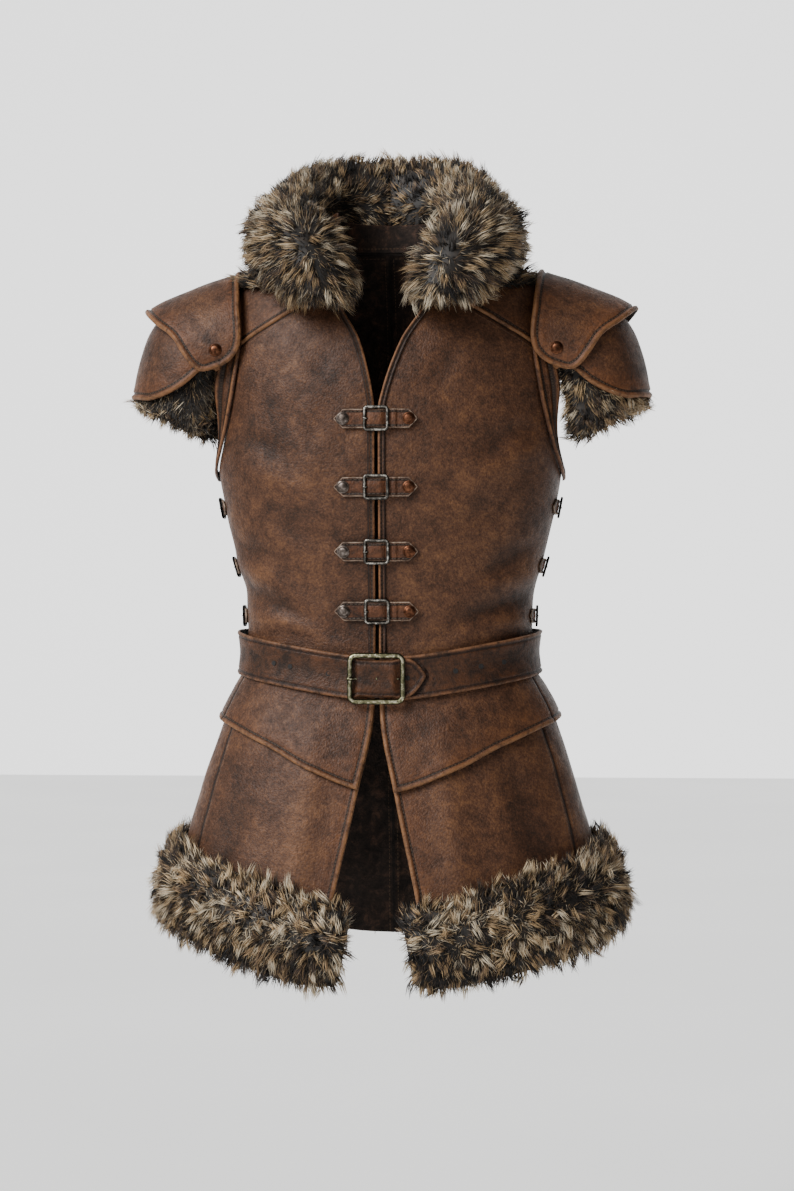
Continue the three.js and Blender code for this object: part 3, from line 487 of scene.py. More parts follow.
# Turned edges: a ridge, the stitched groove behind it and a second low ridge. High is the
# height, at the distance from the edge and wide the half width.
rolledHem = {"high": 1.1, "at": 2.6, "wide": 2.2, "groove": 1.0, "grooveAt": 6.4,
             "grooveWide": 1.2, "second": 0.35, "secondAt": 9.4}
capEdge = {"high": 2.0, "at": 2.9, "wide": 2.5, "groove": 1.3, "grooveAt": 7.2,
           "grooveWide": 1.4, "second": 0.8, "secondAt": 10.8}
strapEdge = {"high": 0.35, "at": 1.6, "wide": 1.2, "groove": 0.45, "grooveAt": 3.3,
             "grooveWide": 0.7, "second": 0.0, "secondAt": 6}
piping = {"high": 1.8, "at": 2.2, "wide": 1.9, "groove": 0.9, "grooveAt": 5.2,
          "grooveWide": 1.1, "second": 0.3, "secondAt": 8}


yokeFrom, yokeTo = 0.38, 0.67   # shares of the armhole between which the yoke lies


# Front panel: u goes from the opening to the side, v from the waist to the yoke, and each
# row is a straight mix of both edges' angle and height. The side edge turns into the
# armhole at armStart and the opening spreads to the neck from neckStart. The waist seam's
# curve fades out over the lowest cells.
def frontPanel(hand):
    armStart, neckStart, gap = 0.52, 0.6, seams["sideGap"]
    sidePhi = seams["side"] - gap

    def place(u, v, out):
        foot, breast, top = waistZ(0) + seamGap, -196, -52 - seamGap
        innerZ = np.where(v <= neckStart, mix(foot, breast, v / neckStart),
                          mix(breast, top, (v - neckStart) / (1 - neckStart)))
        t = np.maximum(v - armStart, 0) / (1 - armStart) * yokeFrom
        low = waistZ(sidePhi) + seamGap
        outerZ = np.where(v <= armStart, mix(low, armhole[0, 2], v / armStart),
                          through(armhole, 2, t) - seamGap)
        outerPhi = np.where(v <= armStart, sidePhi, through(armhole, 1, t) - gap)
        phi = mix(frontEdgePhi(innerZ, hand), hand * outerPhi, u)
        z = mix(innerZ, outerZ, u)
        bottom = np.maximum(1 - v * 15, 0)
        z = z + (waistZ(phi) + seamGap - mix(foot, low, u)) * bottom
        return onBody(phi, z, out)
    return place


# Back panel: from the centre-back seam to the side, armhole and neck, mixed as in front.
# The outer edge runs up the side, from armStart round the armhole and from seamStart
# along the yoke's seam.
def backPanel(hand):
    armStart, seamStart, gap = 0.5, 0.8, seams["sideGap"]
    sidePhi = seams["side"] + gap

    def place(u, v, out):
        foot, low = waistZ(180) + seamGap, waistZ(sidePhi) + seamGap
        t = 1 - np.clip((v - armStart) / (seamStart - armStart), 0, 1) * (1 - yokeTo)
        high = np.clip((v - seamStart) / (1 - seamStart), 0, 1)
        armPhi, armZ = through(armhole, 1, t), through(armhole, 2, t)
        upperPhi = np.where(v <= seamStart, armPhi, mix(113, 128, high)) + gap
        outerPhi = np.where(v <= armStart, sidePhi, upperPhi)
        outerZ = np.where(v <= armStart, mix(low, armhole[0, 2], v / armStart),
                          np.where(v <= seamStart, armZ, mix(-115, 6, high)) - seamGap)
        centre = mix(foot, 8, v)
        phi = mix(backSeamPhi(centre, hand), hand * outerPhi, u)
        z = mix(centre, outerZ, u)
        bottom = np.maximum(1 - v * 14, 0)
        z = z + (waistZ(phi) + seamGap - mix(foot, low, u)) * bottom
        return onBody(phi, z, out)
    return place


# Yoke: v mixes the neckline and the armhole's top, u runs from the front to the back.
def yokePanel(hand):
    def place(u, v, out):
        t = mix(yokeFrom, yokeTo, u)
        phi = mix(through(neckline, 1, u), through(armhole, 1, t), v)
        z = mix(through(neckline, 2, u), through(armhole, 2, t), v) + seamGap
        return onBody(hand * phi, z, out)
    return place


# Skirt panel: angles are mixed from the opening or back seam to the side seam, heights
# from the waist to the hem. It draws in by 2 mm under the belt.
def skirtPanel(hand, front):
    middle, edgePhi = (0, frontEdgePhi) if front else (180, backSeamPhi)
    seam = hand * (seams["skirt"] + (-1 if front else 1) * seams["flareGap"])

    def place(u, v, out):
        inner = edgePhi(mix(waistZ(middle), hemZ(middle), v), hand)
        phi = mix(inner, seam, u)
        z = mix(waistZ(phi) - seamGap, hemZ(phi), v)
        drawn = 2 * np.maximum(1 - v / 0.34, 0)
        return onBody(mix(edgePhi(z, hand), seam, u), z, out - drawn)
    return place


# Short upper flap: as the skirt, down to its own slanted edge. It lies on the skirt and
# stands off by 3 mm at its foot, with the square of the way down.
def peplumPanel(hand, front):
    middle, edgePhi = (0.0, frontEdgePhi) if front else (180.0, backSeamPhi)
    seam = hand * (seams["peplum"] + (-1 if front else 1) * seams["flareGap"])

    def place(u, v, out):
        inner = edgePhi(mix(waistZ(middle), through(peplumEdge, 1, middle), v), hand)
        phi = mix(inner, seam, u)
        z = mix(waistZ(phi) - 2, through(peplumEdge, 1, np.abs(phi)), v)
        stand = 1.3 + leatherThick + 3 * v * v
        return onBody(mix(edgePhi(z, hand), seam, u), z, stand + out)
    return place


# Collar stand: a band round the back of the neck, from one front to the other, mixed from
# the neckline's height up to a level top.
def collarStand(u, v, out):
    phi = mix(62, 298, u)
    turned = np.minimum(phi, 360 - phi)
    order = neckline[:, [1, 2]]
    foot = np.where(turned < 128, through(order, 1, turned), mix(6, 8, (turned - 128) / 52))
    return onBody(phi, mix(foot + 0.9, 42, v), out)


# s, x, z along the top line of each cap
capLine = np.array([
    [0, 179, -24], [60, 236, -43.5], [100, 273, -57], [122, 292, -68], [134, 302, -74.0],
])
armLine = np.array([
    [0, 181, -29], [50, 228, -46], [84, 259, -62], [112, 281, -82], [138, 295, -105],
    [170, 304, -136], [212, 311, -178], [240, 313, -206], [300, 314, -266.0],
])
# turn from the top, inner and outer ends along the line
capCut = np.array([
    [0, 0, 127], [20, 1, 125], [45, 5, 119], [65, 11, 108], [80, 16, 97], [92, 24, 88],
    [99, 40, 76], [100.5, 50, 68],
])
armCut = np.array([
    [0, 6, 210], [30, 7, 211], [48, 9, 212], [60, 24, 208], [80, 38, 190], [95, 50, 160],
    [108, 64, 110.0],
])
furCut = np.array([
    [0, 14, 216], [30, 18, 220], [50, 26, 226], [68, 38, 232], [85, 52, 243],
    [100, 68, 251], [116, 86, 246.0],
])
# rise of each arch, and its half width, which goes from wide to end over reach
upperArch = {"rise": 92, "wide": 90, "end": 85, "reach": 122}
lowerArch = {"rise": 80, "wide": 83, "end": 80, "reach": 212}
sleeveArch = {"rise": 72, "wide": 76, "end": 76, "reach": 212}


# Arch carried along a line: the middle drops by the rise times one less the cosine of
# the turn, and the width goes with its sine.
def archPoint(line, arch, hand, s, turn, out):
    spot = lambda at: np.stack([through(line, 1, at), through(line, 2, at)], -1)
    along = unit(spot(s + 3) - spot(s - 3))
    angle = np.radians(turn)
    drop = arch["rise"] * (1 - np.cos(angle)) - out * np.cos(angle)
    wide = mix(arch["wide"], arch["end"], np.minimum(s / arch["reach"], 1)) + out
    centre = spot(s) - np.stack([-along[..., 1], along[..., 0]], -1) * drop[..., None]
    return np.stack([hand * centre[..., 0], -wide * np.sin(angle), centre[..., 1]], -1)


capDents = np.array([  # s, turn, height, half length, half width
    [70, -30, -1.6, 34, 16], [95, 26, -1.4, 22, 18], [40, 10, 1.2, 26, 24],
    [88, 70, -1.5, 18, 16], [60, -74, -1.3, 20, 18], [150, 24, -2.2, 30, 20],
    [176, -18, 1.8, 26, 22], [128, 62, -1.8, 24, 18], [160, -60, -2.0, 26, 18],
])


# A shoulder cap: u turns over the arch and v runs between the cut's two ends at that
# turn. Dents are bells in both directions.
def capPlace(line, cut, arch, hand):
    most = cut[-1, 0]

    def place(u, v, out):
        turn = mix(-most, most, u)
        s = mix(through(cut, 1, np.abs(turn)), through(cut, 2, np.abs(turn)), v)
        dents = sum(d * bell(s, at, long) * bell(turn, angle, wide)
                    for at, angle, d, long, wide in capDents)
        return archPoint(line, arch, hand, s, turn, out + dents)
    return place


# Empty material and its node tree.
def newMaterial(name):
    made = bpy.data.materials.new(name)
    made.use_nodes = True
    made.node_tree.nodes.clear()
    return made, made.node_tree


# Oiled, hand-rubbed cowhide, rubbed to orange and tan at rims, with a low sheen over fine
# pebbled grain. Painted light lifts the ridges of its creases and painted shade darkens their
# dips; along pressed stitch lines and seams it is dark with grime and painted shade.
# A noise's scale is a thousand over its feature size in millimetres.
def hideMaterial(name, look):
    made, tree = newMaterial(name)
    place = addNode(tree, "TexCoord", output="Object")
    edge, seam, run, fold, inside = (
        addNode(tree, "Attribute", output="Fac", attribute_name=key)
        for key in ("edge", "seam", "run", "fold", "inside"))
    clouds = addNode(tree, "TexNoise", {        # handled areas 60 mm across
        "Vector": place, "Scale": 1000 / 60, "Detail": 4.0, "Roughness": 0.6,
        "Distortion": 0.4})
    mottle = addNode(tree, "TexNoise", {        # uneven dye 14 mm across
        "Vector": place, "Scale": 1000 / 14, "Detail": 8.0, "Roughness": 0.74,
        "Distortion": 0.5})
    speckle = addNode(tree, "TexNoise", {       # rubbed grain tops 2.8 mm apart
        "Vector": place, "Scale": 1000 / 2.8, "Detail": 3.0, "Roughness": 0.7})
    # the fold adds painted light on crease ridges and painted shade in their dips
    toneAndFoldShade = look["start"]
    for pattern, key in ((clouds, "clouds"), (mottle, "mottle"), (speckle, "speckle"),
                         (fold, "foldLightAndShade")):
        toneAndFoldShade = addNode(tree, "Math", (pattern, look[key], toneAndFoldShade), operation="MULTIPLY_ADD")
    colour = addNode(tree, "ValToRGB", (toneAndFoldShade,), stops=look["tones"])
    # rims rubbed pale, the rub broken by the mottle, with a glow of wear further in
    broken = addNode(tree, "MapRange", (mottle, 0.4, 0.6, 0.15, 1.0))
    rim = addNode(tree, "MapRange", (edge, look["rimFrom"], look["rimTo"],
                                     look["rimShare"], 0.0), interpolation_type="SMOOTHSTEP")
    rim = addNode(tree, "Math", (rim, broken), operation="MULTIPLY")
    glow = addNode(tree, "MapRange", (edge, 8.0, 30.0, look["glow"], 0.0))
    glow = addNode(tree, "Math", (glow, broken), operation="MULTIPLY")
    # flesh side: rough and much darker
    flesh = addNode(tree, "ValToRGB", (mottle,), stops=look["flesh"])
    hidden = addNode(tree, "MapRange", (inside, 0.5, 1.0, 0.0, 1.0))
    # grime and painted shade in the stitched groove and along sewn seams, and painted shade
    # in the dips of the creases
    groove = addNode(tree, "Math", (edge, look["stitchAt"]), operation="SUBTRACT")
    groove = addNode(tree, "Math", (groove,), operation="ABSOLUTE")
    grimeAndShade = addNode(tree, "MapRange", (groove, 0.5, 2.0, look["grimeAndShade"], 0.0),
                    interpolation_type="SMOOTHSTEP")
    # sewn seams darkened: grime and painted shade in the seam's dip
    pressed = addNode(tree, "MapRange", (seam, 0.6, 3.4, 0.85, 0.0),
                      interpolation_type="SMOOTHSTEP")
    grimeAndShade = addNode(tree, "Math", (grimeAndShade, pressed), operation="MAXIMUM")
    # painted shade: the dips of the creases darken towards the dark colour
    paintedCreaseShade = addNode(tree, "MapRange", (fold, -3.2, -0.3, look["paintedCreaseShade"], 0.0))
    grimeAndShade = addNode(tree, "Math", (grimeAndShade, paintedCreaseShade), operation="MAXIMUM")
    # thread: stitches 4.8 mm apart, along the groove and beside each seam
    beside = addNode(tree, "Math", (seam, 5.2), operation="SUBTRACT")
    beside = addNode(tree, "Math", (beside,), operation="ABSOLUTE")
    line = addNode(tree, "Math", (groove, beside), operation="MINIMUM")
    line = addNode(tree, "MapRange", (line, 0.35, 0.75, 1.0, 0.0))
    dash = addNode(tree, "Math", (run, 2 * np.pi / 4.8), operation="MULTIPLY")
    dash = addNode(tree, "Math", (dash,), operation="SINE")
    dash = addNode(tree, "MapRange", (dash, -0.55, -0.2, 0.0, 1.0))
    thread = addNode(tree, "Math", (dash, line), operation="MULTIPLY")
    stitched = addNode(tree, "Math", (thread, look["threadShare"]), operation="MULTIPLY")
    # each layer goes over the last: rim, glow of wear, flesh side, grime and painted shade,
    # thread
    layers = ((rim, hexColour(look["rim"])), (glow, hexColour(look["worn"])), (hidden, flesh),
              (grimeAndShade, hexColour(look["dark"])), (stitched, hexColour(look["thread"])))
    for share, tint in layers:
        colour = addNode(tree, "Mix", {0: share, 6: colour, 7: tint}, 2, data_type="RGBA")
    # pebbled grain 1.9 mm across, drawn coarser than the real one so that it shows
    pebble = addNode(tree, "TexVoronoi", {"Vector": place, "Scale": 1000 / 1.9},
                     feature="SMOOTH_F1")
    height = 0.0
    for pattern, share in ((pebble, -look["pebble"]), (speckle, look["pebble"] * 0.8),
                           (mottle, look["wrinkle"]), (thread, 0.3)):
        height = addNode(tree, "Math", (pattern, share, height), operation="MULTIPLY_ADD")
    bump = addNode(tree, "Bump", {"Strength": 1.0, "Distance": 0.001, "Height": height})
    gloss = addNode(tree, "MapRange", (mottle, 0.35, 0.65, look["dull"], look["shiny"]))
    gloss = addNode(tree, "Math", (inside, 0.25, gloss), operation="MULTIPLY_ADD")
    skin = addNode(tree, "BsdfPrincipled", {
        "Base Color": colour, "Roughness": gloss, "Normal": bump, "IOR": 1.48,
        "Specular IOR Level": look["specular"]})
    addNode(tree, "OutputMaterial", {"Surface": skin})
    return made


# Tones go from the darkest to rubbed grain, and start shifts them all. Rims run from
# rimFrom to rimTo millimetres, stitchAt is the thread's distance from the edge, pebble and
# wrinkle are heights in millimetres, dull and shiny are roughness. The fold's tone paints
# light on crease ridges and shade in their dips, the creases' share is painted shade in
# those dips, and the grime's share is grime and painted shade in the stitched groove.
hideLook = {
    "tones": [(0.30, "#0d0704"), (0.74, "#66452e"), (0.40, "#1d110a"), (0.48, "#301d11"),
              (0.56, "#41291b"), (0.64, "#533723")],
    "flesh": [(0.36, "#0b0604"), (0.68, "#402a1d"), (0.52, "#1e130c")],
    "dark": "#0b0604", "rim": "#84603f", "worn": "#5a351c", "thread": "#65503c",
    "start": -0.03, "clouds": 0.32, "mottle": 0.44, "speckle": 0.4, "foldLightAndShade": 0.012,
    "rimFrom": 1.0, "rimTo": 5.0, "rimShare": 0.7, "glow": 0.4, "stitchAt": 6.4,
    "grimeAndShade": 0.9, "paintedCreaseShade": 0.25, "threadShare": 0.28, "pebble": 0.5, "wrinkle": 0.5,
    "dull": 0.6, "shiny": 0.44, "specular": 0.2,
}
vestLeather = hideMaterial("oiledCowhide", hideLook)
capLeather = hideMaterial("rubbedShoulderCowhide", {
    **hideLook, "stitchAt": 7.2, "rimFrom": 1.6, "rimTo": 5.2, "rimShare": 0.8,
    "rim": "#83603f", "glow": 0.55, "grimeAndShade": 0.95, "worn": "#633b21", "threadShare": 0.35,
})
trimLeather = hideMaterial("rubbedTrimCowhide", {
    **hideLook, "stitchAt": 3.7, "rimFrom": 0.5, "rimTo": 2.2, "rimShare": 0.95,
    "rim": "#7d573a", "grimeAndShade": 0.9, "glow": 0.3, "worn": "#5c371c", "threadShare": 0.15,
})
beltLeather = hideMaterial("waxedBeltCowhide", {
    **hideLook, "stitchAt": 4.6, "rimFrom": 0.5, "rimTo": 3.0, "rimShare": 0.75,
    "tones": [(0.30, "#0c0704"), (0.76, "#664530"), (0.42, "#190f09"), (0.52, "#2a1a10"),
              (0.62, "#3f281a")],
    "start": -0.11, "rim": "#7a583f", "grimeAndShade": 0.6, "threadShare": 0.0,
})
tabLeather = hideMaterial("rubbedTabCowhide", {
    **hideLook, "stitchAt": 2.6, "rimFrom": 0.4, "rimTo": 1.3, "rimShare": 1.0,
    "start": -0.06, "rim": "#8a7f70", "thread": "#6b5a49", "threadShare": 0.25,
    "grimeAndShade": 0.9, "glow": 0.3, "worn": "#66391f",
})


# Cast or drawn metal gone dull, dark in the pits, in patches of patina, with a painted
# highlight on top where it stands out and painted shade down its flanks. The attribute
# edge is 1 on top of a wire and 0 down its sides.
def metalMaterial(name, look):
    made, tree = newMaterial(name)
    place = addNode(tree, "TexCoord", output="Object")
    patches = addNode(tree, "TexNoise", {       # patina 5 mm across
        "Vector": place, "Scale": 1000 / 5, "Detail": 5.0, "Roughness": 0.65,
        "Distortion": 0.4})
    pits = addNode(tree, "TexNoise", {          # pits 0.9 mm across
        "Vector": place, "Scale": 1000 / 0.9, "Detail": 3.0, "Roughness": 0.6})
    worn = addNode(tree, "Attribute", output="Fac", attribute_name="edge")
    # painted light: a wire's top takes the lighter stops as a painted highlight, its flanks
    # the darker ones as painted shade, over patches of patina
    tone = addNode(tree, "Math", (worn, look["worn"], patches), operation="MULTIPLY_ADD")
    colour = addNode(tree, "ValToRGB", (tone,), stops=look["tones"])
    height = 0.0
    for pattern, share in ((pits, 0.1), (patches, 0.25)):
        height = addNode(tree, "Math", (pattern, share, height), operation="MULTIPLY_ADD")
    bump = addNode(tree, "Bump", {"Strength": 0.6, "Distance": 0.001, "Height": height})
    gloss = addNode(tree, "MapRange", (patches, 0.3, 0.7, look["rough"], look["smooth"]))
    skin = addNode(tree, "BsdfPrincipled", {
        "Base Color": colour, "Metallic": 1.0, "Roughness": gloss, "Normal": bump})
    addNode(tree, "OutputMaterial", {"Surface": skin})
    return made


# top stops are the painted highlight on wire tops, low stops the painted shade down their
# flanks and dark patina
agedSteel = metalMaterial("agedDrawnSteel", {
    "tones": [(0.45, "#0a0908"), (1.0, "#b3aea5"), (0.7, "#2b2927"), (0.88, "#5b5751")],
    "worn": 0.42, "rough": 0.42, "smooth": 0.26})
agedBrass = metalMaterial("agedCastBrass", {
    "tones": [(0.45, "#12120c"), (1.0, "#c6c0a6"), (0.68, "#3a3a29"), (0.86, "#6f6c52")],
    "worn": 0.42, "rough": 0.4, "smooth": 0.24})
blackSteel = metalMaterial("blackenedDrawnSteel", {
    "tones": [(0.45, "#080706"), (1.0, "#6f6a63"), (0.7, "#1d1b19"), (0.88, "#3b3834")],
    "worn": 0.42, "rough": 0.48, "smooth": 0.34})
darkSteel = metalMaterial("blackenedSteelCap", {
    "tones": [(0.3, "#2a2420"), (0.72, "#8a807a"), (0.5, "#574e48")],
    "worn": 0.0, "rough": 0.5, "smooth": 0.36})
agedCopper = metalMaterial("agedCopperCap", {
    "tones": [(0.3, "#26170f"), (0.72, "#7a5039"), (0.5, "#4c3022")],
    "worn": 0.0, "rough": 0.5, "smooth": 0.36})


# Dyed long pile: each hair dark at its root and pale at its tip. The map's first number
# is the hair's own shade and its second runs from root to tip.
def pileMaterial(name):
    made, tree = newMaterial(name)
    held = addNode(tree, "UVMap", uv_map="OFBake")
    shade = addNode(tree, "SeparateXYZ", (held,), output="X")
    along = addNode(tree, "SeparateXYZ", (held,), output="Y")
    root = addNode(tree, "ValToRGB", (shade,), stops=[
        (0.0, "#050403"), (1.0, "#2e2418"), (0.5, "#15100b")])
    tip = addNode(tree, "ValToRGB", (shade,), stops=[
        (0.0, "#080605"), (1.0, "#ddd0b8"), (0.2, "#17110d"), (0.36, "#3e3026"),
        (0.52, "#7a6148"), (0.68, "#ab8c62"), (0.85, "#cdb28a")])
    share = addNode(tree, "MapRange", (along, 0.2, 0.78, 0.0, 1.0))
    colour = addNode(tree, "Mix", {0: share, 6: root, 7: tip}, 2, data_type="RGBA")
    skin = addNode(tree, "BsdfPrincipled", {
        "Base Color": colour, "Roughness": 0.6, "Specular IOR Level": 0.35})
    addNode(tree, "OutputMaterial", {"Surface": skin})
    return made


longPile = pileMaterial("dyedLongPile")


# Punched hole: a near-black disc, painted shade for the hole's depth over bare leather
# fibres 1.5 mm apart, with no shine.
def holeShadeMaterial(name):
    made, tree = newMaterial(name)
    place = addNode(tree, "TexCoord", output="Object")
    fibres = addNode(tree, "TexNoise", {"Vector": place, "Scale": 1000 / 1.5})
    colour = addNode(tree, "ValToRGB", (fibres,), stops=[(0.3, "#030201"), (0.7, "#0e0805")])
    skin = addNode(tree, "BsdfPrincipled", {"Base Color": colour, "Roughness": 0.85})
    addNode(tree, "OutputMaterial", {"Surface": skin})
    return made


paintedHoleShade = holeShadeMaterial("paintedShadeInHole")
print("vest: materials ready")


# Surface, worked size across and along, grid step across and along, leather, and how the
# four sides are finished and the worn piece is held. All sizes are millimetres.
capFinish = {"finished": "lrbt", "roll": capEdge, "dip": 0, "held": "draped"}
panels = {
    "front": (frontPanel, (190, 430), (6.4, 6.4), vestLeather,
              {"sewn": "t", "held": "stretched"}),
    "back": (backPanel, (230, 480), (7.5, 7.5), vestLeather,
             {"sewn": "lt", "held": "stretched"}),
    "yoke": (yokePanel, (180, 105), (6.5, 6.0), vestLeather,
             {"finished": "lr", "roll": piping, "dip": 0, "held": "draped"}),
    "skirtFront": (lambda hand: skirtPanel(hand, True), (200, 350), (7, 7), vestLeather,
                   {"finished": "l", "sewn": "r", "roll": rolledHem, "held": "hung"}),
    "skirtBack": (lambda hand: skirtPanel(hand, False), (330, 340), (8, 8), vestLeather,
                  {"sewn": "lr", "held": "hung"}),
    "peplumFront": (lambda hand: peplumPanel(hand, True), (190, 110), (6, 6), vestLeather,
                    {"finished": "lt", "sewn": "r", "roll": rolledHem, "held": "hung"}),
    "peplumBack": (lambda hand: peplumPanel(hand, False), (260, 90), (8, 6.5), vestLeather,
                   {"finished": "t", "sewn": "lr", "roll": rolledHem, "held": "hung"}),
    "capUpper": (lambda hand: capPlace(capLine, capCut, upperArch, hand), (300, 124),
                 (5.5, 5.5), capLeather, capFinish),
    "capLower": (lambda hand: capPlace(armLine, armCut, lowerArch, hand), (300, 190),
                 (6.5, 6.5), capLeather, capFinish),
}
for side, hand in hands.items():
    for kind, (surface, size, step, leather, finish) in panels.items():
        piece = kind + side.capitalize()
        shell(piece, surface(hand), shares(size[0], step[0]), shares(size[1], step[1]),
              leather, [cadName(piece)], **finish)
shell("collarStand", collarStand, shares(330, 8), shares(40, 7), vestLeather,
      ["collar_band"], sewn="b", held="stretched")
print("vest: leather panels cut")


# past is how far the strip reaches over the opening's edge, clear its end's gap to the belt
bindingLook = {"wide": 7.5, "past": 0.6, "top": -55, "clear": 25.5, "lift": 2.5}


# Strip sewn over each front edge, v across it and u down to just above the waist: a worn
# ridge at the opening and a pressed far side.
def frontBinding(hand):
    def place(u, v, out):
        z = mix(bindingLook["top"], waistZ(0) + bindingLook["clear"], u)
        inset = v * bindingLook["wide"] - bindingLook["past"]
        return onBody(frontEdgePhi(z, hand, inset), z, bindingLook["lift"] + out)
    return place


bindingRoll = {"high": 1.1, "at": 1.7, "wide": 1.4, "groove": 0.7, "grooveAt": 4.4,
               "grooveWide": 1.0, "second": 0.3, "secondAt": 6}
narrow = np.array([     # shares across a binding, closer at both edges
    0, 0.07, 0.16, 0.26, 0.38, 0.5, 0.62, 0.74, 0.84, 0.93, 1])
trimPerDegree = 3.1     # millimetres that a degree is worth beside the armhole
for side, hand in hands.items():
    piece = f"frontBinding{side.capitalize()}"
    shell(piece, frontBinding(hand), np.linspace(0, 1, 95), narrow, trimLeather,
          [cadName(piece)], finished="b", sewn="t", roll=bindingRoll, thick=2, dip=0.3,
          slot="trim")

# The armhole's finish, from the panel to the arm: a piping cord, a strip, a hollow with
# painted shade and a turned facing. Each row is the shift from the hole's edge and the
# height.
armholeProfile = np.array([
    [6.6, 0.9], [6.7, 1.6], [6.0, 3.0], [4.9, 4.0], [3.7, 4.3], [2.6, 3.7], [1.8, 2.7],
    [0.6, 3.0], [-2.0, 3.4], [-5.5, 3.3], [-7.8, 2.8], [-8.8, 1.7], [-10.6, 1.4],
    [-11.8, 2.0], [-12.8, 3.2], [-15.2, 3.7], [-17.4, 3.3], [-18.6, 2.3], [-18.9, 1.1],
    [-17.6, 0.5], [-6, 0.8], [2, 0.9]])
# the facing's width at the back and what it gains in front, out of the whole; its stand
# off the body, the facing's slope in front, and the loop's length
armholeLook = {"narrow": 1, "gain": 14, "whole": 19, "stand": 1.4, "slope": 0.9, "round": 640}


# Closed loop round the armhole. The facing is widest in front: negative shifts shrink by
# the share that the hole's outward direction has forwards, to the power 1.5, and there
# the facing stands off by nine tenths of its width.
def armholeBinding(hand, name, nodes, stations=150):
    t = np.arange(stations) / stations
    phi, z = through(armhole, 1, t), through(armhole, 2, t)
    away = unit(np.stack([(phi - 90) * trimPerDegree, z + 158], -1))
    forward = np.maximum(-away[:, :1], 0) ** 1.5
    look = armholeLook
    wide = (look["narrow"] + look["gain"] * forward) / look["whole"]
    shift = np.where(armholeProfile[:, 0] < 0, wide, 1) * armholeProfile[:, 0]
    angle = hand * (phi[:, None] + away[:, :1] * shift / trimPerDegree)
    slope = look["slope"] * forward * np.maximum(-shift - 2, 0)
    stand = look["stand"] + armholeProfile[:, 1] + slope
    points = onBody(angle, z[:, None] + away[:, 1:] * shift, stand)
    rows, columns = points.shape[:2]
    quads = gridFaces(rows + 1, columns, True) % (rows * columns)
    across = np.broadcast_to(armholeProfile[:, 0], (rows, columns)).ravel()
    run = np.broadcast_to((t * look["round"])[:, None], (rows, columns)).ravel()
    # worn on top of the cord and of the facing; the seam in the hollow between is dark with
    # grime and painted shade, and the flesh side underneath is dark
    edge = np.minimum(np.abs(across - 3.9) * 0.9, np.abs(across + 15.2) * 0.7 + 1.0)
    under = np.arange(columns) >= 18
    values = {"edge": edge, "seam": np.abs(across + 10.2) * 1.3, "run": run, "fold": 0 * run,
              "inside": np.broadcast_to(0.85 * under, (rows, columns)).ravel()}
    return makeMesh(name, points.reshape(-1, 3), [quads], trimLeather, nodes, values,
                    slot="trim")


for side, hand in hands.items():
    piece = f"armholeBinding{side.capitalize()}"
    armholeBinding(hand, piece, [cadName(piece)])

# Tip, whole length and holes are degrees from the front, the rest is millimetres: under
# is the gap to the body, pad the height between the buckle's bars and lean the belt's
# lean per millimetre of height.
beltLook = {
    "thick": 3.2, "tip": 23.5, "whole": 377.5, "under": 5.6, "pad": 4.6, "padHalf": 21.4,
    "lean": 0.11, "wave": 0.9, "holes": [-55.5, -48, -30, -21.5, 14, 38, 49, 59],
    "holeProud": 0.85,
}
beltTurns = np.array([  # share along, lift, half height
    [0, 3.5, 1.5], [0.006, 3.5, 9], [0.013, 3.5, 16], [0.022, 3.5, 21], [0.034, 3.5, 23],
    [0.1, 3.5, 24.5], [0.14, 0.6, 24.5], [0.18, 0, 24.5], [1, 0, 24.5],
])
bucklePhi = float(phiAtX(closureX, waistZ(0)))


# Place beside the waist's line: out along the level outward direction of the ring, then
# straight up, leaning out by a share of the height so that it wraps both flares.
def beltSpot(phi, up, out):
    low = waistZ(phi)
    around = ringPoint(phi + 1.5, low) - ringPoint(phi - 1.5, low)
    level = unit(np.stack([around[..., 1], -around[..., 0], 0 * phi], -1))
    base = onBody(phi, low, 0.0, 0.35)
    lean = out + np.abs(up) * beltLook["lean"]
    return base + level * lean[..., None] + np.stack([0 * up, 0 * up, up], -1)


# Slow wave of the strap off the body, three to the round.
def beltWave(phi):
    return beltLook["wave"] * np.sin(np.radians(phi) * 3 + 0.6)


# The strap's own surface: it lies over its start at the front, waves a little, and
# between the buckle's bars it stands up as a pad and draws in.
def beltPlace(u, v, out):
    half, lift = through(beltTurns, 2, u), through(beltTurns, 1, u)
    phi = mix(beltLook["tip"], beltLook["tip"] - beltLook["whole"], u)
    wave = beltWave(phi) * bell(v, 0.5, 0.8)
    turned = np.abs(phi - bucklePhi)
    pad = (1 - smoothStep(9.5, 13.2, turned)) * (u < 0.5)
    half = mix(half, np.minimum(half, beltLook["padHalf"]), pad)
    rise = beltLook["pad"] * pad * (1 - np.abs(2 * v - 1) ** 5)
    return beltSpot(phi, mix(-half, half, v), beltLook["under"] + beltLook["thick"] + lift
                    + out + wave + rise)


beltRoll = {"high": 0.9, "at": 2.0, "wide": 1.6, "groove": 0.8, "grooveAt": 4.8,
            "grooveWide": 0.9, "second": 0.2, "secondAt": 7}
# close lines round the tip and the buckle, wider ones round the back
beltAlong = np.concatenate([
    [0, 0.002, 0.004, 0.006, 0.009, 0.013, 0.017, 0.022, 0.028, 0.034],
    np.linspace(0.04, 0.16, 46), np.linspace(0.16, 1, 150)[1:]])
shell("waistBelt", beltPlace, beltAlong, shares(49, 6), beltLeather, ["belt"],
      finished="lrbt", roll=beltRoll, thick=beltLook["thick"], dip=0, held="stretched",
      slot="trim")


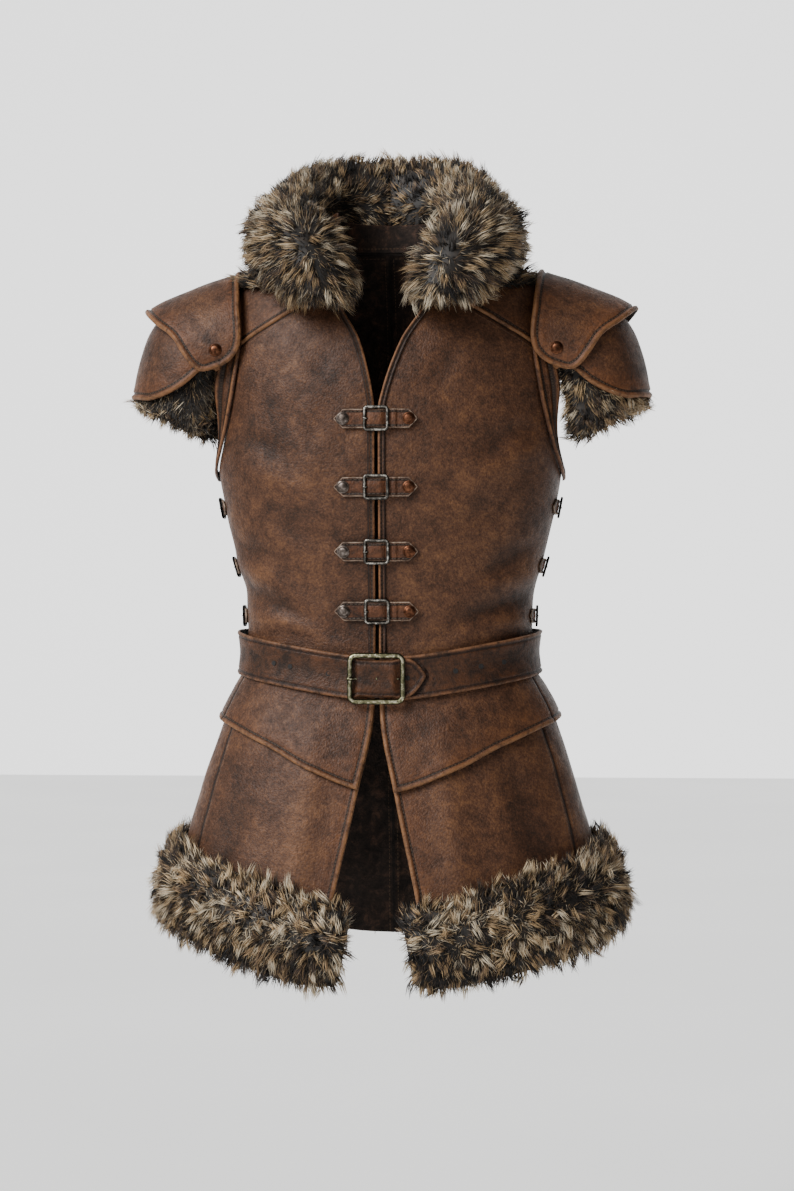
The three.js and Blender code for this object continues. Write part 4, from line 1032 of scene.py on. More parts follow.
# Turned discs on frames of right, up and out directions, all in one mesh. The attribute
# edge rises from 0 at the rim to 1 at the middle.
def discs(name, spots, rights, ups, outs, rings, sides, material, nodes, slot):
    turn = np.arange(sides) * 2 * np.pi / sides
    table = np.asarray(rings, float)
    turned = np.cos(turn)[:, None] * rights[:, None] + np.sin(turn)[:, None] * ups[:, None]
    points = (spots[:, None, None] + outs[:, None, None] * table[:, 1][:, None, None]
              + turned[:, None] * table[:, 0][:, None, None])
    count = len(table) * sides
    starts = (np.arange(len(spots)) * count)[:, None, None]
    faces = gridFaces(len(table), sides, True) + starts
    worn = np.repeat(1 - table[:, 0] / table[:, 0].max(), sides)
    return makeMesh(name, points.reshape(-1, 3), [faces.reshape(-1, 4)], material, nodes,
                    {"edge": np.tile(worn, len(spots))}, slot=slot)


# Frame of a fitting on the body: its origin, and its right, up and out directions, from
# steps round and up the ring.
def basisAt(phi, z, out, creased=1.0):
    origin = onBody(phi, z, out, creased)
    right = ringPoint(phi + 1, z) - ringPoint(phi - 1, z)
    right[..., 2] = 0
    right = unit(right)
    up = unit(ringPoint(phi, z + 6) - ringPoint(phi, z - 6))
    return origin, right, up, unit(np.cross(right, up))


holePhi = np.array(beltLook["holes"], float)
holeLift = np.where((holePhi > 5) & (holePhi < 20), beltTurns[0, 1], 0.0)   # on the overlap
holeHeight = (beltLook["under"] + beltLook["thick"] + holeLift + beltLook["holeProud"]
              + beltWave(holePhi))
holeSpots = beltSpot(holePhi, 0 * holePhi, holeHeight)
_, holeRight, holeUp, holeOut = basisAt(holePhi, waistZ(holePhi), 0.0)
# radius and height of a hole's disc, from its hidden foot over the lip to the middle
holeRings = [(0.01, -1.2), (3.0, -1.2), (3.0, 0.05), (2.7, 0.16), (2.2, 0.06), (1.1, 0.0),
             (0.01, -0.02)]
# each hole is a dark disc of painted shade standing for its depth
discs("beltHoleShades", holeSpots, holeRight, holeUp, holeOut, holeRings, 12, paintedHoleShade, [],
      "trim")
print("vest: belt laid")


# A wire bent to a rounded rectangle: corner arcs joined by straights, swept by a circle.
# It bows back by the curve times the square of the distance from the middle, and the
# attribute edge goes from 0 at its flanks to 1 on its top, which the metal paints as a
# highlight on top and shade down the flanks.
def wireFrame(basis, look):
    origin, right, up, out = basis
    bends = np.linspace(0, 1, look["bends"] + 1)
    angle = ((np.arange(4)[:, None] + bends[None]) * np.pi / 2).ravel()
    middle = np.repeat((np.arange(4) + 0.5) * np.pi / 2, len(bends))
    bend, (halfX, halfY) = look["corner"], look["half"]
    x = np.sign(np.cos(middle)) * (halfX - bend) + np.cos(angle) * bend
    y = np.sign(np.sin(middle)) * (halfY - bend) + np.sin(angle) * bend
    turn = np.arange(look["sides"]) * 2 * np.pi / look["sides"]
    wide = look["wire"] * look["flat"]
    px = x[:, None] + np.cos(angle)[:, None] * np.cos(turn) * wide
    py = y[:, None] + np.sin(angle)[:, None] * np.cos(turn) * wide
    pz = np.sin(turn)[None] * look["wire"] - look["curve"] * x[:, None] ** 2
    points = origin + px[..., None] * right + py[..., None] * up + pz[..., None] * out
    rows, columns = points.shape[:2]
    faces = gridFaces(rows + 1, columns, True) % (rows * columns)
    # painted highlight on the wire's top, painted shade down its flanks
    worn = np.broadcast_to(np.clip(np.sin(turn), 0, 1) ** 1.5, (rows, columns))
    return points.reshape(-1, 3), faces, worn.ravel()


# A round pin along the middle of a frame: each row of the line is its place across the
# frame, its place out and its radius, and both ends close to a point.
def pin(basis, line, sides=10):
    origin, right, up, out = basis
    turn = np.arange(sides) * 2 * np.pi / sides
    line = np.asarray(line, float)
    line = np.concatenate([line[:1], line, line[-1:]])
    line[[0, -1], 2] = 0.02
    py = np.cos(turn) * line[:, 2:3] * 1.15
    pz = line[:, 1:2] + np.sin(turn) * line[:, 2:3]
    points = (origin + line[:, 0][:, None, None] * right + py[..., None] * up
              + pz[..., None] * out)
    # painted highlight on the pin's top, painted shade down its sides
    worn = np.broadcast_to(np.clip(np.sin(turn), 0, 1) ** 1.5, pz.shape)
    return points.reshape(-1, 3), gridFaces(len(line), sides, True), worn.ravel()


# Joins several pieces of metal, each a set of points, faces and wear, into one mesh: face
# numbers go up by the count of points before them.
def metalPiece(name, pieces, material, nodes, slot):
    starts = np.cumsum([0] + [len(piece[0]) for piece in pieces])
    faces = np.concatenate([piece[1] + start for piece, start in zip(pieces, starts)])
    points, worn = (np.concatenate([piece[k] for piece in pieces]) for k in (0, 2))
    return makeMesh(name, points, [faces], material, nodes, {"edge": worn}, slot=slot)


beltBuckle = {"half": (30.5, 26.5), "corner": 7, "bends": 7, "sides": 18, "wire": 2.6,
              "flat": 1.15, "curve": 0.0012, "rest": 18.6}
buckleBasis = basisAt(bucklePhi, waistZ(bucklePhi), beltBuckle["rest"], 0.35)
metalPiece("beltBuckle", [wireFrame(buckleBasis, beltBuckle)], agedBrass, ["belt_buckle"],
           "brass")
# the prong loops round one bar, runs under the pad and shows once in its hole: each row
# is x across the frame, out and radius
prong = np.array([
    [-34.2, 0.4, 1.3], [-33.4, 2.2, 1.9], [-31.0, 3.0, 2.0], [-28.4, 2.2, 1.9],
    [-26.8, -0.2, 1.7], [-24, -4.6, 1.5], [-14, -6.2, 1.5], [-3, -6.0, 1.5],
    [-0.5, -3.0, 1.9], [0.6, -1.9, 1.7], [2.2, -3.6, 1.5], [6, -6.0, 1.5], [22, -5.6, 1.4],
    [27, -3.4, 0.8],
])
metalPiece("beltProng", [pin(buckleBasis, prong)], agedBrass, ["belt_prong"], "brass")

# row of the closing and its height
closureRows = {"1": -209, "2": -287, "3": -361, "4": -430}
tabLook = {"thick": 2.0, "out": 2.9, "rivet": 37.0, "rivetRadius": 7.3, "rivetHigh": 3.4,
           "pad": 2.3, "buckleUp": 1.8}     # rivet is its distance from the closing
closureFrame = {"half": (13.2, 13.2), "corner": 3.4, "bends": 5, "sides": 14, "wire": 1.6,
                "flat": 1.15, "curve": 0.0}
domeRings = [(0.01, -0.4), (1.0, -0.4), (1.02, 0.1), (0.96, 0.28), (0.86, 0.3), (0.8, 0.5),
             (0.68, 0.78), (0.5, 0.95), (0.28, 1.05), (0.01, 1.08)]


# A strap lying on the body round phi, base above it: x runs along it, x over the ring's
# radius is its angle, and the table gives its half width and pad.
def strapPlace(phi, z, table, base):
    radius = np.linalg.norm(ringPoint(phi, z)[:2])

    def place(u, v, out):
        x = mix(table[0, 0], table[-1, 0], u)
        angle = phi + np.degrees(x / radius)
        half, pad = (np.interp(x, table[:, 0], table[:, k]) for k in (1, 2))
        return onBody(angle, z + mix(-half, half, v), base + pad + out)
    return place


# Rivet cap: the dome's rings, as shares of its radius and height, turned round its axis.
def dome(name, basis, radius, high, material, nodes, slot):
    rings = [(r * radius, h * high) for r, h in domeRings]
    origin, right, up, out = (np.asarray(b)[None] for b in basis)
    return discs(name, origin, right, up, out, rings, 22, material, nodes, slot)


# x along the strap, half width, height of its pad
rightTab = np.array([[-46, 0.8, 0], [-37, 10.6, 0], [10, 10.6, 0.0]])
leftTab = np.array([[10.4, 10.6, 0], [17, 10.6, 0], [18.5, 10.6, 1.7], [22.5, 10.6, 1.7],
                    [24, 10.6, 0], [37, 10.6, 0], [46, 0.8, 0.0]])
sideStrap = np.array([[-34, 0.8, 0], [-26, 8.2, 0], [-16, 8.2, 0], [-13, 8.2, 1.5],
                      [13, 8.2, 1.5], [16, 8.2, 0], [26, 8.2, 0], [34, 0.8, 0.0]])


# Raises the leather inside the frame into a pad that falls off to all four sides.
def framePad(u, v, flat):
    x = mix(rightTab[0, 0], rightTab[-1, 0], u)
    return (tabLook["pad"] * smoothStep(-13, -7.5, x) * (1 - smoothStep(4.5, 10, x))
            * (1 - np.abs(2 * v - 1) ** 4))


# a strap's pointed end has closer lines than the rest
rightShares = np.concatenate([np.linspace(0, 0.16, 8), np.linspace(0.16, 1, 30)[1:]])
leftShares = np.concatenate([np.linspace(0, 0.75, 28), np.linspace(0.75, 1, 9)[1:]])
sideShares = np.concatenate([np.linspace(0, 0.12, 6), np.linspace(0.12, 0.88, 26)[1:-1],
                             np.linspace(0.88, 1, 6)])
strapShares = shares(21.2, 3.4, (0.8, 1.7, 2.6, 3.6, 4.8))
tabTop = tabLook["out"] + tabLook["thick"]
for row, z in closureRows.items():
    phi = float(phiAtX(closureX, z))
    radius = float(np.linalg.norm(ringPoint(phi, z)[:2]))
    shell(f"closure{row}TabRight", strapPlace(phi, z, rightTab, tabTop), rightShares,
          strapShares, tabLeather, [f"closure_{row}_tab_right"], finished="lbt",
          roll=strapEdge, thick=tabLook["thick"], dip=0, extra=framePad)
    shell(f"closure{row}TabLeft", strapPlace(phi, z, leftTab, tabTop), leftShares,
          strapShares, tabLeather, [f"closure_{row}_tab_left"], finished="rbt",
          roll=strapEdge, thick=tabLook["thick"], dip=0)
    for part, x, metal, slot in (("Right", -tabLook["rivet"], darkSteel, "steel"),
                                 ("Left", tabLook["rivet"], agedCopper, "copper")):
        spot = basisAt(phi + np.degrees(x / radius), z, tabTop)
        dome(f"closure{row}Rivet{part}", spot, tabLook["rivetRadius"], tabLook["rivetHigh"],
             metal, [], slot)
    middle = basisAt(phi, z, tabTop + tabLook["buckleUp"])
    loop = pin(middle, [[-15.2, 0.4, 1.1], [-13.2, 2.0, 1.3], [-11.2, 0.9, 1.2],
                        [-9.4, -0.6, 0.8]], 8)
    metalPiece(f"closure{row}Buckle", [wireFrame(middle, closureFrame), loop], agedSteel,
               [f"closure_{row}_buckle"], "steel")
print("vest: closures fastened")

sideRows = {"1": -306, "2": -376, "3": -436}
sideLook = {"out": 2.3, "pad": 1.5, "clear": 0.3}       # clear is the frame's own gap
sideFrame = {"half": (10.5, 11.5), "corner": 3.5, "bends": 4, "sides": 10, "wire": 1.4,
             "flat": 1.0, "curve": 0.0}
for side, hand in hands.items():
    for row, z in sideRows.items():
        part, phi = side.capitalize(), hand * 90.0
        shell(f"sideStrap{part}{row}", strapPlace(phi, z, sideStrap, sideLook["out"]),
              sideShares, shares(16.4, 3, (0.8, 1.7, 2.6, 3.6)), tabLeather,
              [f"side_strap_{side}_{row}"], finished="lrbt", roll=strapEdge, thick=2, dip=0)
        middle = basisAt(phi, z, sum(sideLook.values()) + sideFrame["wire"])
        tongue = pin(middle, [[-10, 1.3, 1.0], [-3, 1.2, 1.0], [4, 0.8, 0.9],
                              [10, 1.6, 0.6]], 8)
        metalPiece(f"sideBuckle{part}{row}", [wireFrame(middle, sideFrame), tongue],
                   blackSteel, [f"side_buckle_{side}_{row}"], "steel")

# a broad low dome near the front corner of each upper cap
capRivet = {"s": 52.0, "turn": 88.0, "radius": 7.6, "high": 3.8}


# Place on an upper cap, s along its line at the rivet's turn, lifted by out.
def capSpot(hand, s, out=0.0):
    turn = capRivet["turn"]
    return archPoint(capLine, upperArch, hand, np.array(s), np.array(turn), np.array(out))


for side, hand in hands.items():
    s = capRivet["s"]
    origin = capSpot(hand, s)
    right = unit(capSpot(hand, s + 3) - capSpot(hand, s - 3))
    out = unit(capSpot(hand, s, 5.0) - origin)
    dome(f"capRivet{side.capitalize()}", (origin, right, np.cross(out, right), out),
         capRivet["radius"], capRivet["high"], agedCopper, [f"cap_rivet_{side}"], "copper")
print("vest: side straps and rivets set")


# Places spread evenly over a grid of points: cells are picked by their area in order,
# with one random place in each equal share, then set by the two mixes inside the cell.
# Gives the places, their normals and their shares along the grid's rows.
def scatter(grid, count, weight=None):
    corners = grid[:-1, :-1], grid[1:, :-1], grid[1:, 1:], grid[:-1, 1:]
    normal = np.cross(corners[2] - corners[0], corners[3] - corners[1]) / 2
    area = np.linalg.norm(normal, axis=-1)
    share = area * (1 if weight is None else weight)
    order = np.cumsum(share.ravel()) / share.sum()
    picks = (np.arange(count) + rng.uniform(0, 1, count)) / count
    cell = np.minimum(np.searchsorted(order, picks), order.size - 1)
    i, j = np.divmod(cell, grid.shape[1] - 1)
    a, b = rng.uniform(0, 1, (2, count))
    spots = mix(mix(corners[0][i, j], corners[1][i, j], a[:, None]),
                mix(corners[3][i, j], corners[2][i, j], a[:, None]), b[:, None])
    return spots, unit(normal[i, j]), (i + a) / (grid.shape[0] - 1)


# Tufts of tapered three-sided hairs on spots. Every hair rises off the skin, bends into
# the tuft's lay and leans to its tuft's common tip by a pull, so that tips gather. Gives
# points, quads, triangles and both map numbers.
def tufts(spots, normals, lays, lengths, tones, look):
    each = look["hairs"]
    pick = np.repeat(np.arange(len(spots)), each)
    count = len(pick)
    normal, lay = normals[pick], unit(lays)[pick]
    sideways = np.cross(normal, lay)
    around = rng.uniform(0, 2 * np.pi, count)
    reach = look["spread"] * np.sqrt(rng.uniform(0, 1, count))
    root = (spots[pick] + (np.cos(around) * reach)[:, None] * lay
            + (np.sin(around) * reach)[:, None] * sideways - normal * look["sink"])
    length = lengths[pick] * rng.uniform(look["shortest"], 1.08, count)
    loose = rng.normal(size=(count, 3)) * look["loose"]
    tuftBend = (rng.normal(size=(len(spots), 3)) * look["tuftBend"])[pick]
    rise, lie = look["rise"], look["lie"]
    start = unit(normal * (rise + 0.45) + lay * lie * 0.55 + loose * 0.6 + tuftBend * 0.5)
    end = unit(normal * rise * 0.75 + lay * lie + loose + tuftBend)
    middle = root + start * length[:, None] * 0.5
    tip = middle + end * length[:, None] * 0.55
    shared = (spots[pick] + unit(normal * rise * 0.85 + lay * lie + tuftBend)
              * (lengths[pick] * 0.98)[:, None])
    pull = look["pull"] * rng.uniform(0.5, 1.0, count)[:, None]
    tip = mix(tip, shared, pull)
    middle = mix(middle, mix(spots[pick], shared, 0.5), pull * 0.45)
    across = unit(np.cross(end, normal) + 1e-4)
    width = look["width"] * rng.uniform(0.6, 1.25, count)
    rings = []
    for place, size in ((root, 0.8), (middle, 1.0)):
        for corner in range(3):
            angle = corner * 2 * np.pi / 3
            up = np.cross(across, end)
            rings.append(place + (across * np.cos(angle) + up * np.sin(angle) * 0.7)
                         * (width * size)[:, None])
    points = np.stack([*rings, tip], 1).reshape(-1, 3)
    quads = np.array([[0, 3, 4, 1], [1, 4, 5, 2], [2, 5, 3, 0]])
    ends = np.array([[3, 6, 4], [4, 6, 5], [5, 6, 3], [0, 1, 2]])
    starts = (np.arange(count) * 7)[:, None, None]
    tone = np.clip(tones[pick] + rng.normal(size=count) * look["toneShift"], 0.02, 0.98)
    far = rng.uniform(0.8, 1.0, count)
    # a hair's corners differ a little on the map, so that no face is empty there
    u = np.repeat(tone, 7) + np.tile([-0.006, 0.006, 0.0, -0.006, 0.006, 0.0, 0.0], count)
    v = np.stack([0 * far, 0 * far + 0.01, 0 * far + 0.02, far * 0.5, far * 0.5 + 0.01,
                  far * 0.5 + 0.02, far], 1).ravel()
    return points, (quads + starts).reshape(-1, 4), (ends + starts).reshape(-1, 3), u, v


thirdTurn = 2.0944      # radians between a spike's three corners


# Short under hairs: straight closed spikes of four faces, each leaning by its lay. Its way
# is the normal times the rise plus the lay times the lie, strayed by loose.
def underHairs(spots, normals, lays, lengths, tones, look):
    count = len(spots)
    lay = unit(lays)
    way = unit(normals * look["rise"] + lay * look["lie"]
               + rng.normal(size=(count, 3)) * look["loose"])
    root = spots - normals * look["sink"]
    tip = root + way * lengths[:, None]
    across = unit(np.cross(way, normals) + 1e-4)
    up = np.cross(across, way)
    width = (look["width"] * rng.uniform(0.6, 1.3, count))[:, None]
    rings = [root + (across * np.cos(k * thirdTurn) + up * np.sin(k * thirdTurn)) * width
             for k in range(3)]
    points = np.stack([*rings, tip], 1).reshape(-1, 3)
    faces = np.array([[0, 3, 1], [1, 3, 2], [2, 3, 0], [0, 1, 2]])
    starts = (np.arange(count) * 4)[:, None, None]
    tone = np.clip(tones + rng.normal(size=count) * look["toneShift"], 0.02, 0.98)
    u = np.repeat(tone, 4) + np.tile([-0.006, 0.006, 0.0, 0.0], count)
    v = np.tile([0.1, 0.11, 0.12, look["tip"]], count)
    return points, np.zeros((0, 4), int), (faces + starts).reshape(-1, 3), u, v


# One fur piece: a closed undercoat with all its hairs, in one mesh.
def furPiece(name, under, groups, nodes):
    rows, columns = under.shape[:2]
    quads = [gridFaces(rows, columns, True)]
    points = under.reshape(-1, 3)
    # the two ends close on a middle point
    hubs = np.stack([under[0].mean(0), under[-1].mean(0)])
    ring = np.arange(columns)
    after = np.roll(ring, -1)
    last = (rows - 1) * columns
    caps = np.concatenate([
        np.stack([np.full(columns, len(points)), ring, after], 1),
        np.stack([np.full(columns, len(points) + 1), last + after, last + ring], 1)])
    points = np.concatenate([points, hubs])
    u = [0.3 + 0.25 * rng.uniform(size=len(points))]
    v = [0.12 + 0.14 * rng.uniform(size=len(points))]
    allPoints, allTris, start = [points], [caps], len(points)
    for group in groups:
        allPoints.append(group[0])
        quads.append(group[1] + start)
        allTris.append(group[2] + start)
        u.append(group[3])
        v.append(group[4])
        start += len(group[0])
    uv = np.stack([np.concatenate(u), np.concatenate(v)], 1)
    return makeMesh(name, np.concatenate(allPoints),
                    [np.concatenate(quads), np.concatenate(allTris)], longPile, nodes,
                    uv=("OFBake", np.clip(uv, 0, 1)), slot="fur")


patchWaves = rng.normal(size=(24, 3)) * 2 * np.pi / 46      # patches about 46 mm across
patchPhases = rng.uniform(0, 2 * np.pi, 24)


# Shade of each tuft: patches a few centimetres wide from twenty-four sine waves, and a
# random share of its own.
def toneOf(spots, middle, spread, scatterShare):
    wave = np.sin(spots @ patchWaves.T + patchPhases).sum(1) / np.sqrt(12)
    return np.clip(middle + spread * wave + scatterShare * rng.normal(size=len(spots)), 0, 1)


# Closed fur ring turned so that its faces look outwards: the sign of the sum of each
# cell's cross product dotted with its place from the ring's middle.
def outward(grid):
    hub = grid.mean(1, keepdims=True)
    cross = np.cross(grid[1:, :-1] - grid[:-1, :-1], grid[:-1, 1:] - grid[:-1, :-1])
    facing = (cross * (grid[:-1, :-1] - hub[:-1])).sum()
    return grid if facing > 0 else grid[:, ::-1]


# Grows one fur piece over its undercoat: long tufts, then short under hairs. layOf gives
# each place's lay and how much shorter its hair is and how far painted shade darkens it.
def growFur(name, under, look, layOf, nodes, weight=None):
    closed = np.concatenate([under, under[:, :1]], 1)
    groups = []
    for make, kind in ((tufts, "long"), (underHairs, "under")):
        hair = look[kind]
        spots, normals, share = scatter(closed, hair["count"], weight)
        lays, inner = layOf(spots, normals, share)
        # painted shade: hair on the collar's inner back, facing the neck, is darker
        tones = toneOf(spots, *look["tone"]) - 0.08 * inner
        uneven = 1 + look["uneven"] * rng.normal(size=hair["count"])
        lengths = hair["length"] * uneven * (1 - 0.3 * inner)
        groups.append(make(spots, normals, lays, lengths, tones, hair))
    furPiece(name, under, groups, nodes)


# t, x, y, z of the middle, half width across, half height
collarPath = np.array([
    [0, 49, -142, -87, 20, 18],
    [0.06, 58, -140, -75, 36, 34],
    [0.16, 72, -128, -52, 48, 46],
    [0.3, 99, -98, -14, 55, 54],
    [0.45, 116, -44, 6, 54, 60],
    [0.6, 104, 18, 28, 45, 65],
    [0.75, 86, 76, 50, 43, 71],
    [0.88, 50, 110, 59, 43, 74],
    [1, 0, 121, 61, 42, 74],
])
# Tone is the middle shade, the patches' spread and each tuft's own. Lengths and widths are
# millimetres. Rise and lie set how far hairs stand off and lie down, loose and tuftBend
# how much they stray, and pull how far a tuft's tips gather.
collarLook = {
    "inset": 8.0, "clear": 7.0, "tone": (0.6, 0.24, 0.27), "uneven": 0.13,
    "whorlRight": (-79, -178, 17), "whorlLeft": (71, -180, -12),
    "long": {"count": 690, "length": 27, "hairs": 13, "spread": 5.6, "sink": 3,
             "shortest": 0.55, "loose": 0.14, "tuftBend": 0.2, "rise": 0.36, "lie": 0.98,
             "pull": 0.5, "width": 0.55, "toneShift": 0.1},
    "under": {"count": 14000, "length": 17, "sink": 2, "rise": 0.5, "lie": 0.9,
              "loose": 0.28, "width": 0.72, "toneShift": 0.12, "tip": 0.72},
}


# Undercoat of half the collar: a rounded section, of sine and cosine to the power 0.95,
# carried along the path, then pushed clear of the leather.
def collarRing(hand, inset, stations=60, sides=40):
    t = np.linspace(0, 1, stations)
    centre = np.stack([through(collarPath, k, t) for k in (1, 2, 3)], 1)
    late, early = np.minimum(t + 0.01, 1), np.maximum(t - 0.01, 0)
    along = np.stack([through(collarPath, k, late) - through(collarPath, k, early)
                      for k in (1, 2, 3)], 1)
    along[-1] = (-1, 0, 0)
    along = unit(along)
    out = unit(np.cross(along, np.array([0.0, 0, 1])))
    up = unit(np.cross(out, along))
    angle = np.arange(sides) * 2 * np.pi / sides
    wide = np.sign(np.cos(angle)) * np.abs(np.cos(angle)) ** 0.95
    tall = np.sign(np.sin(angle)) * np.abs(np.sin(angle)) ** 0.95
    across = through(collarPath, 4, t) - inset
    high = through(collarPath, 5, t) - inset
    grid = (centre[:, None] - (wide * across[:, None])[..., None] * out[:, None]
            + (tall * high[:, None])[..., None] * up[:, None])
    shift = closureX * np.clip((t - 0.3) / 0.3, 0, 1)[:, None]
    x = np.maximum(grid[..., 0], 0.15)
    # keep clear of the leather: push level outwards to a set gap from the body's ring
    level = np.hypot(x, grid[..., 1])
    turn = np.degrees(np.arctan2(x, -grid[..., 1]))
    rim = ringPoint(turn, np.clip(grid[..., 2], bodyFoot, bodyTop))
    gap = level - np.hypot(rim[..., 0], rim[..., 1])
    push = np.maximum(collarLook["clear"] - gap, 0) * (grid[..., 2] < 48)
    push = np.where(grid[..., 2] > -30, np.minimum(push, 26), push)
    # the outer foot ends on the shoulder's ridge, so that no fur hangs behind it
    ridge = -70 + 58 * smoothStep(132, 158, x) * smoothStep(-70, -25, grid[..., 1])
    x, y = x * (1 + push / level), grid[..., 1] * (1 + push / level)
    return np.stack([np.maximum(x, 0.15) * hand + shift, y,
                     np.maximum(grid[..., 2], ridge)], -1)


# Lay of the collar's pile: away from a whorl on each lobe, turning to hang outside and
# stand up along the top behind the shoulder. Also the share that is the inner back, which
# faces the neck and gets shorter hair and painted shade.
def collarLay(spots, normals, t, whorl):
    away = spots - whorl
    away -= normals * (away * normals).sum(1, keepdims=True)
    # at the whorl itself the pile stands every way, so that no skin shows
    near = bell(np.linalg.norm(away, axis=1), 0, 17)[:, None]
    lays = unit(unit(away) + 1.6 * near * rng.normal(size=away.shape))
    # behind the shoulder the pile lies outwards and down, and stands up along the top
    back = smoothStep(0.42, 0.85, t)[:, None]
    fall = np.array([0, 0, -1.0]) - normals * normals[:, 2:3] * -1
    stand = np.array([0, 0, 1.0]) - normals * normals[:, 2:3]
    upper = smoothStep(-0.2, 0.5, normals[:, 2])[:, None]
    lays = mix(lays, unit(mix(unit(fall), unit(stand), upper) + 0.4 * lays), back * 0.8)
    # the inner back: behind the shoulder, facing towards the neck
    inner = smoothStep(0.5, 0.9, t) * (1 - smoothStep(-0.5, 0.1, normals[:, 1]))
    return lays, inner


for side, hand in hands.items():
    part = side.capitalize()
    ringGrid = outward(collarRing(hand, collarLook["inset"]))
    whorl = np.array(collarLook[f"whorl{part}"], float)
    growFur(f"collarFur{part}", ringGrid, collarLook,
            lambda spots, normals, t: collarLay(spots, normals, t, whorl),
            [f"fur_collar_{side}"])
print("vest: collar fur grown")

# overhang is how far each half reaches past its front edge
hemLook = {
    "depth": 28.0, "inset": 0.74, "overhang": {"right": 25.0, "left": 20.0},
    "tone": (0.58, 0.24, 0.26), "uneven": 0.15,
    "long": {"count": 700, "length": 22, "hairs": 13, "spread": 4.8, "sink": 3,
             "shortest": 0.55, "loose": 0.16, "tuftBend": 0.24, "rise": 0.5, "lie": 0.85,
             "pull": 0.55, "width": 0.55, "toneShift": 0.1},
    "under": {"count": 14000, "length": 14, "sink": 2, "rise": 0.6, "lie": 0.8,
              "loose": 0.35, "width": 0.72, "toneShift": 0.13, "tip": 0.72},
}
hemOutline = np.array([  # share up, share of the depth
    [0.95, 0.09], [0.5, 0.06], [0.05, 0.09], [0, 0.4], [0.12, 0.74], [0.3, 0.93], [0.5, 1.0],
    [0.7, 0.94], [0.88, 0.72], [1, 0.36]])


# Undercoat of half the hem: the outline stands on the skirt between the band's foot and
# top, swells from its ends by a quarter circle and is carried round the body.
def hemRing(hand, side, scale, stations=90):
    share = np.linspace(0, 1, stations)[:, None]
    near = np.minimum(share / 0.05, 1)
    swollen = 0.35 + 0.65 * np.sqrt(near * (2 - near))
    up = hemOutline[None, :, 0] * 0.9 + 0.05
    mid = np.array(-805.0)      # height at which the ends are first set
    over = hemLook["overhang"][side]
    phi = mix(frontEdgePhi(mid, hand, -over), backSeamPhi(mid, hand), share)
    lift, thin = (through(rightLift, k, np.abs(phi)) for k in (1, 2))
    if hand > 0:
        lift, thin = 0 * lift, 0 * thin + 1
    low, high = through(furBottom, 1, np.abs(phi)) + lift, through(furTop, 1, np.abs(phi))
    z = mix(low, high, 0.5 + (up - 0.5) * (0.72 + 0.28 * swollen))
    exact = mix(frontEdgePhi(z, hand, -over), backSeamPhi(z, hand), share)
    out = 1.6 + hemOutline[None, :, 1] * hemLook["depth"] * scale * swollen * thin
    return onBody(exact, z, out)


# Lay of the hem's pile: up over its top, down under its foot, swirled a little, and
# round the front corner at the opening.
def hemLay(spots, normals, share, hub, hand):
    heights = np.interp(share, np.linspace(0, 1, len(hub)), hub[:, 2])
    vertical = (spots[:, 2] - heights + 6) / 50
    start = np.exp(-share / 0.02)[:, None] * np.array([-hand, -0.2, 0.0])
    swirl = swell(spots * 2.2)
    tangent = unit(np.cross(normals, [0, 0, 1.0]) + 1e-6)
    lays = np.stack([0 * share, 0 * share, vertical * 1.3 - 0.35], 1)
    lays = lays + unit(spots * [1, 1, 0]) * 0.25 + start * 0.8
    lays = lays + tangent * (0.3 * swirl)[:, None] + rng.normal(size=lays.shape) * 0.2
    return lays - normals * (lays * normals).sum(1, keepdims=True)


for side, hand in hands.items():
    ringGrid = outward(hemRing(hand, side, hemLook["inset"]))
    fine = np.concatenate([ringGrid, ringGrid[:, :1]], 1)
    cells = (fine[1:, 1:] + fine[:-1, :-1]) / 2
    slant = np.cross(fine[1:, 1:] - fine[:-1, :-1], fine[:-1, 1:] - fine[1:, :-1])
    outwards = (unit(cells * [1, 1, 0]) * unit(slant)).sum(-1)
    hub = ringGrid.mean(1)
    # no hair on the side that lies against the skirt
    growFur(f"hemFur{side.capitalize()}", ringGrid, hemLook,
            lambda spots, normals, share: (hemLay(spots, normals, share, hub, hand), 0),
            [f"fur_hem_{side}"], smoothStep(-0.55, 0.0, outwards))
print("vest: hem fur grown")

sleeveLook = {
    "half": 116, "levels": (-8, -15), "tone": (0.64, 0.2, 0.24), "uneven": 0.14,
    "long": {"count": 215, "length": 20, "hairs": 13, "spread": 4.6, "sink": 2,
             "shortest": 0.55, "loose": 0.15, "tuftBend": 0.22, "rise": 0.35, "lie": 0.95,
             "pull": 0.5, "width": 0.53, "toneShift": 0.1},
    "under": {"count": 4800, "length": 13, "sink": 2, "rise": 0.45, "lie": 0.9,
              "loose": 0.3, "width": 0.7, "toneShift": 0.13, "tip": 0.7},
}


# Turns round the arm, and places along it, of the pelt's grid: each row goes from the cut's
# inner end at that turn to its outer end.
def sleeveGrid(rows, columns):
    turn = np.linspace(-sleeveLook["half"], sleeveLook["half"], rows)[:, None]
    inner, outer = (through(furCut, k, np.abs(turn)) for k in (1, 2))
    return turn, mix(inner, outer, np.linspace(0, 1, columns)[None])


# Pelt under the caps: a closed thin wall following the fur's outline on its arch.
def sleeveWall(hand, rows=40, columns=24):
    turn, s = sleeveGrid(rows, columns)
    turns = np.broadcast_to(turn, s.shape)
    top, foot = (archPoint(armLine, sleeveArch, hand, s, turns, 0 * s + level)
                 for level in sleeveLook["levels"])
    return np.concatenate([top, foot[:, ::-1]], 1)


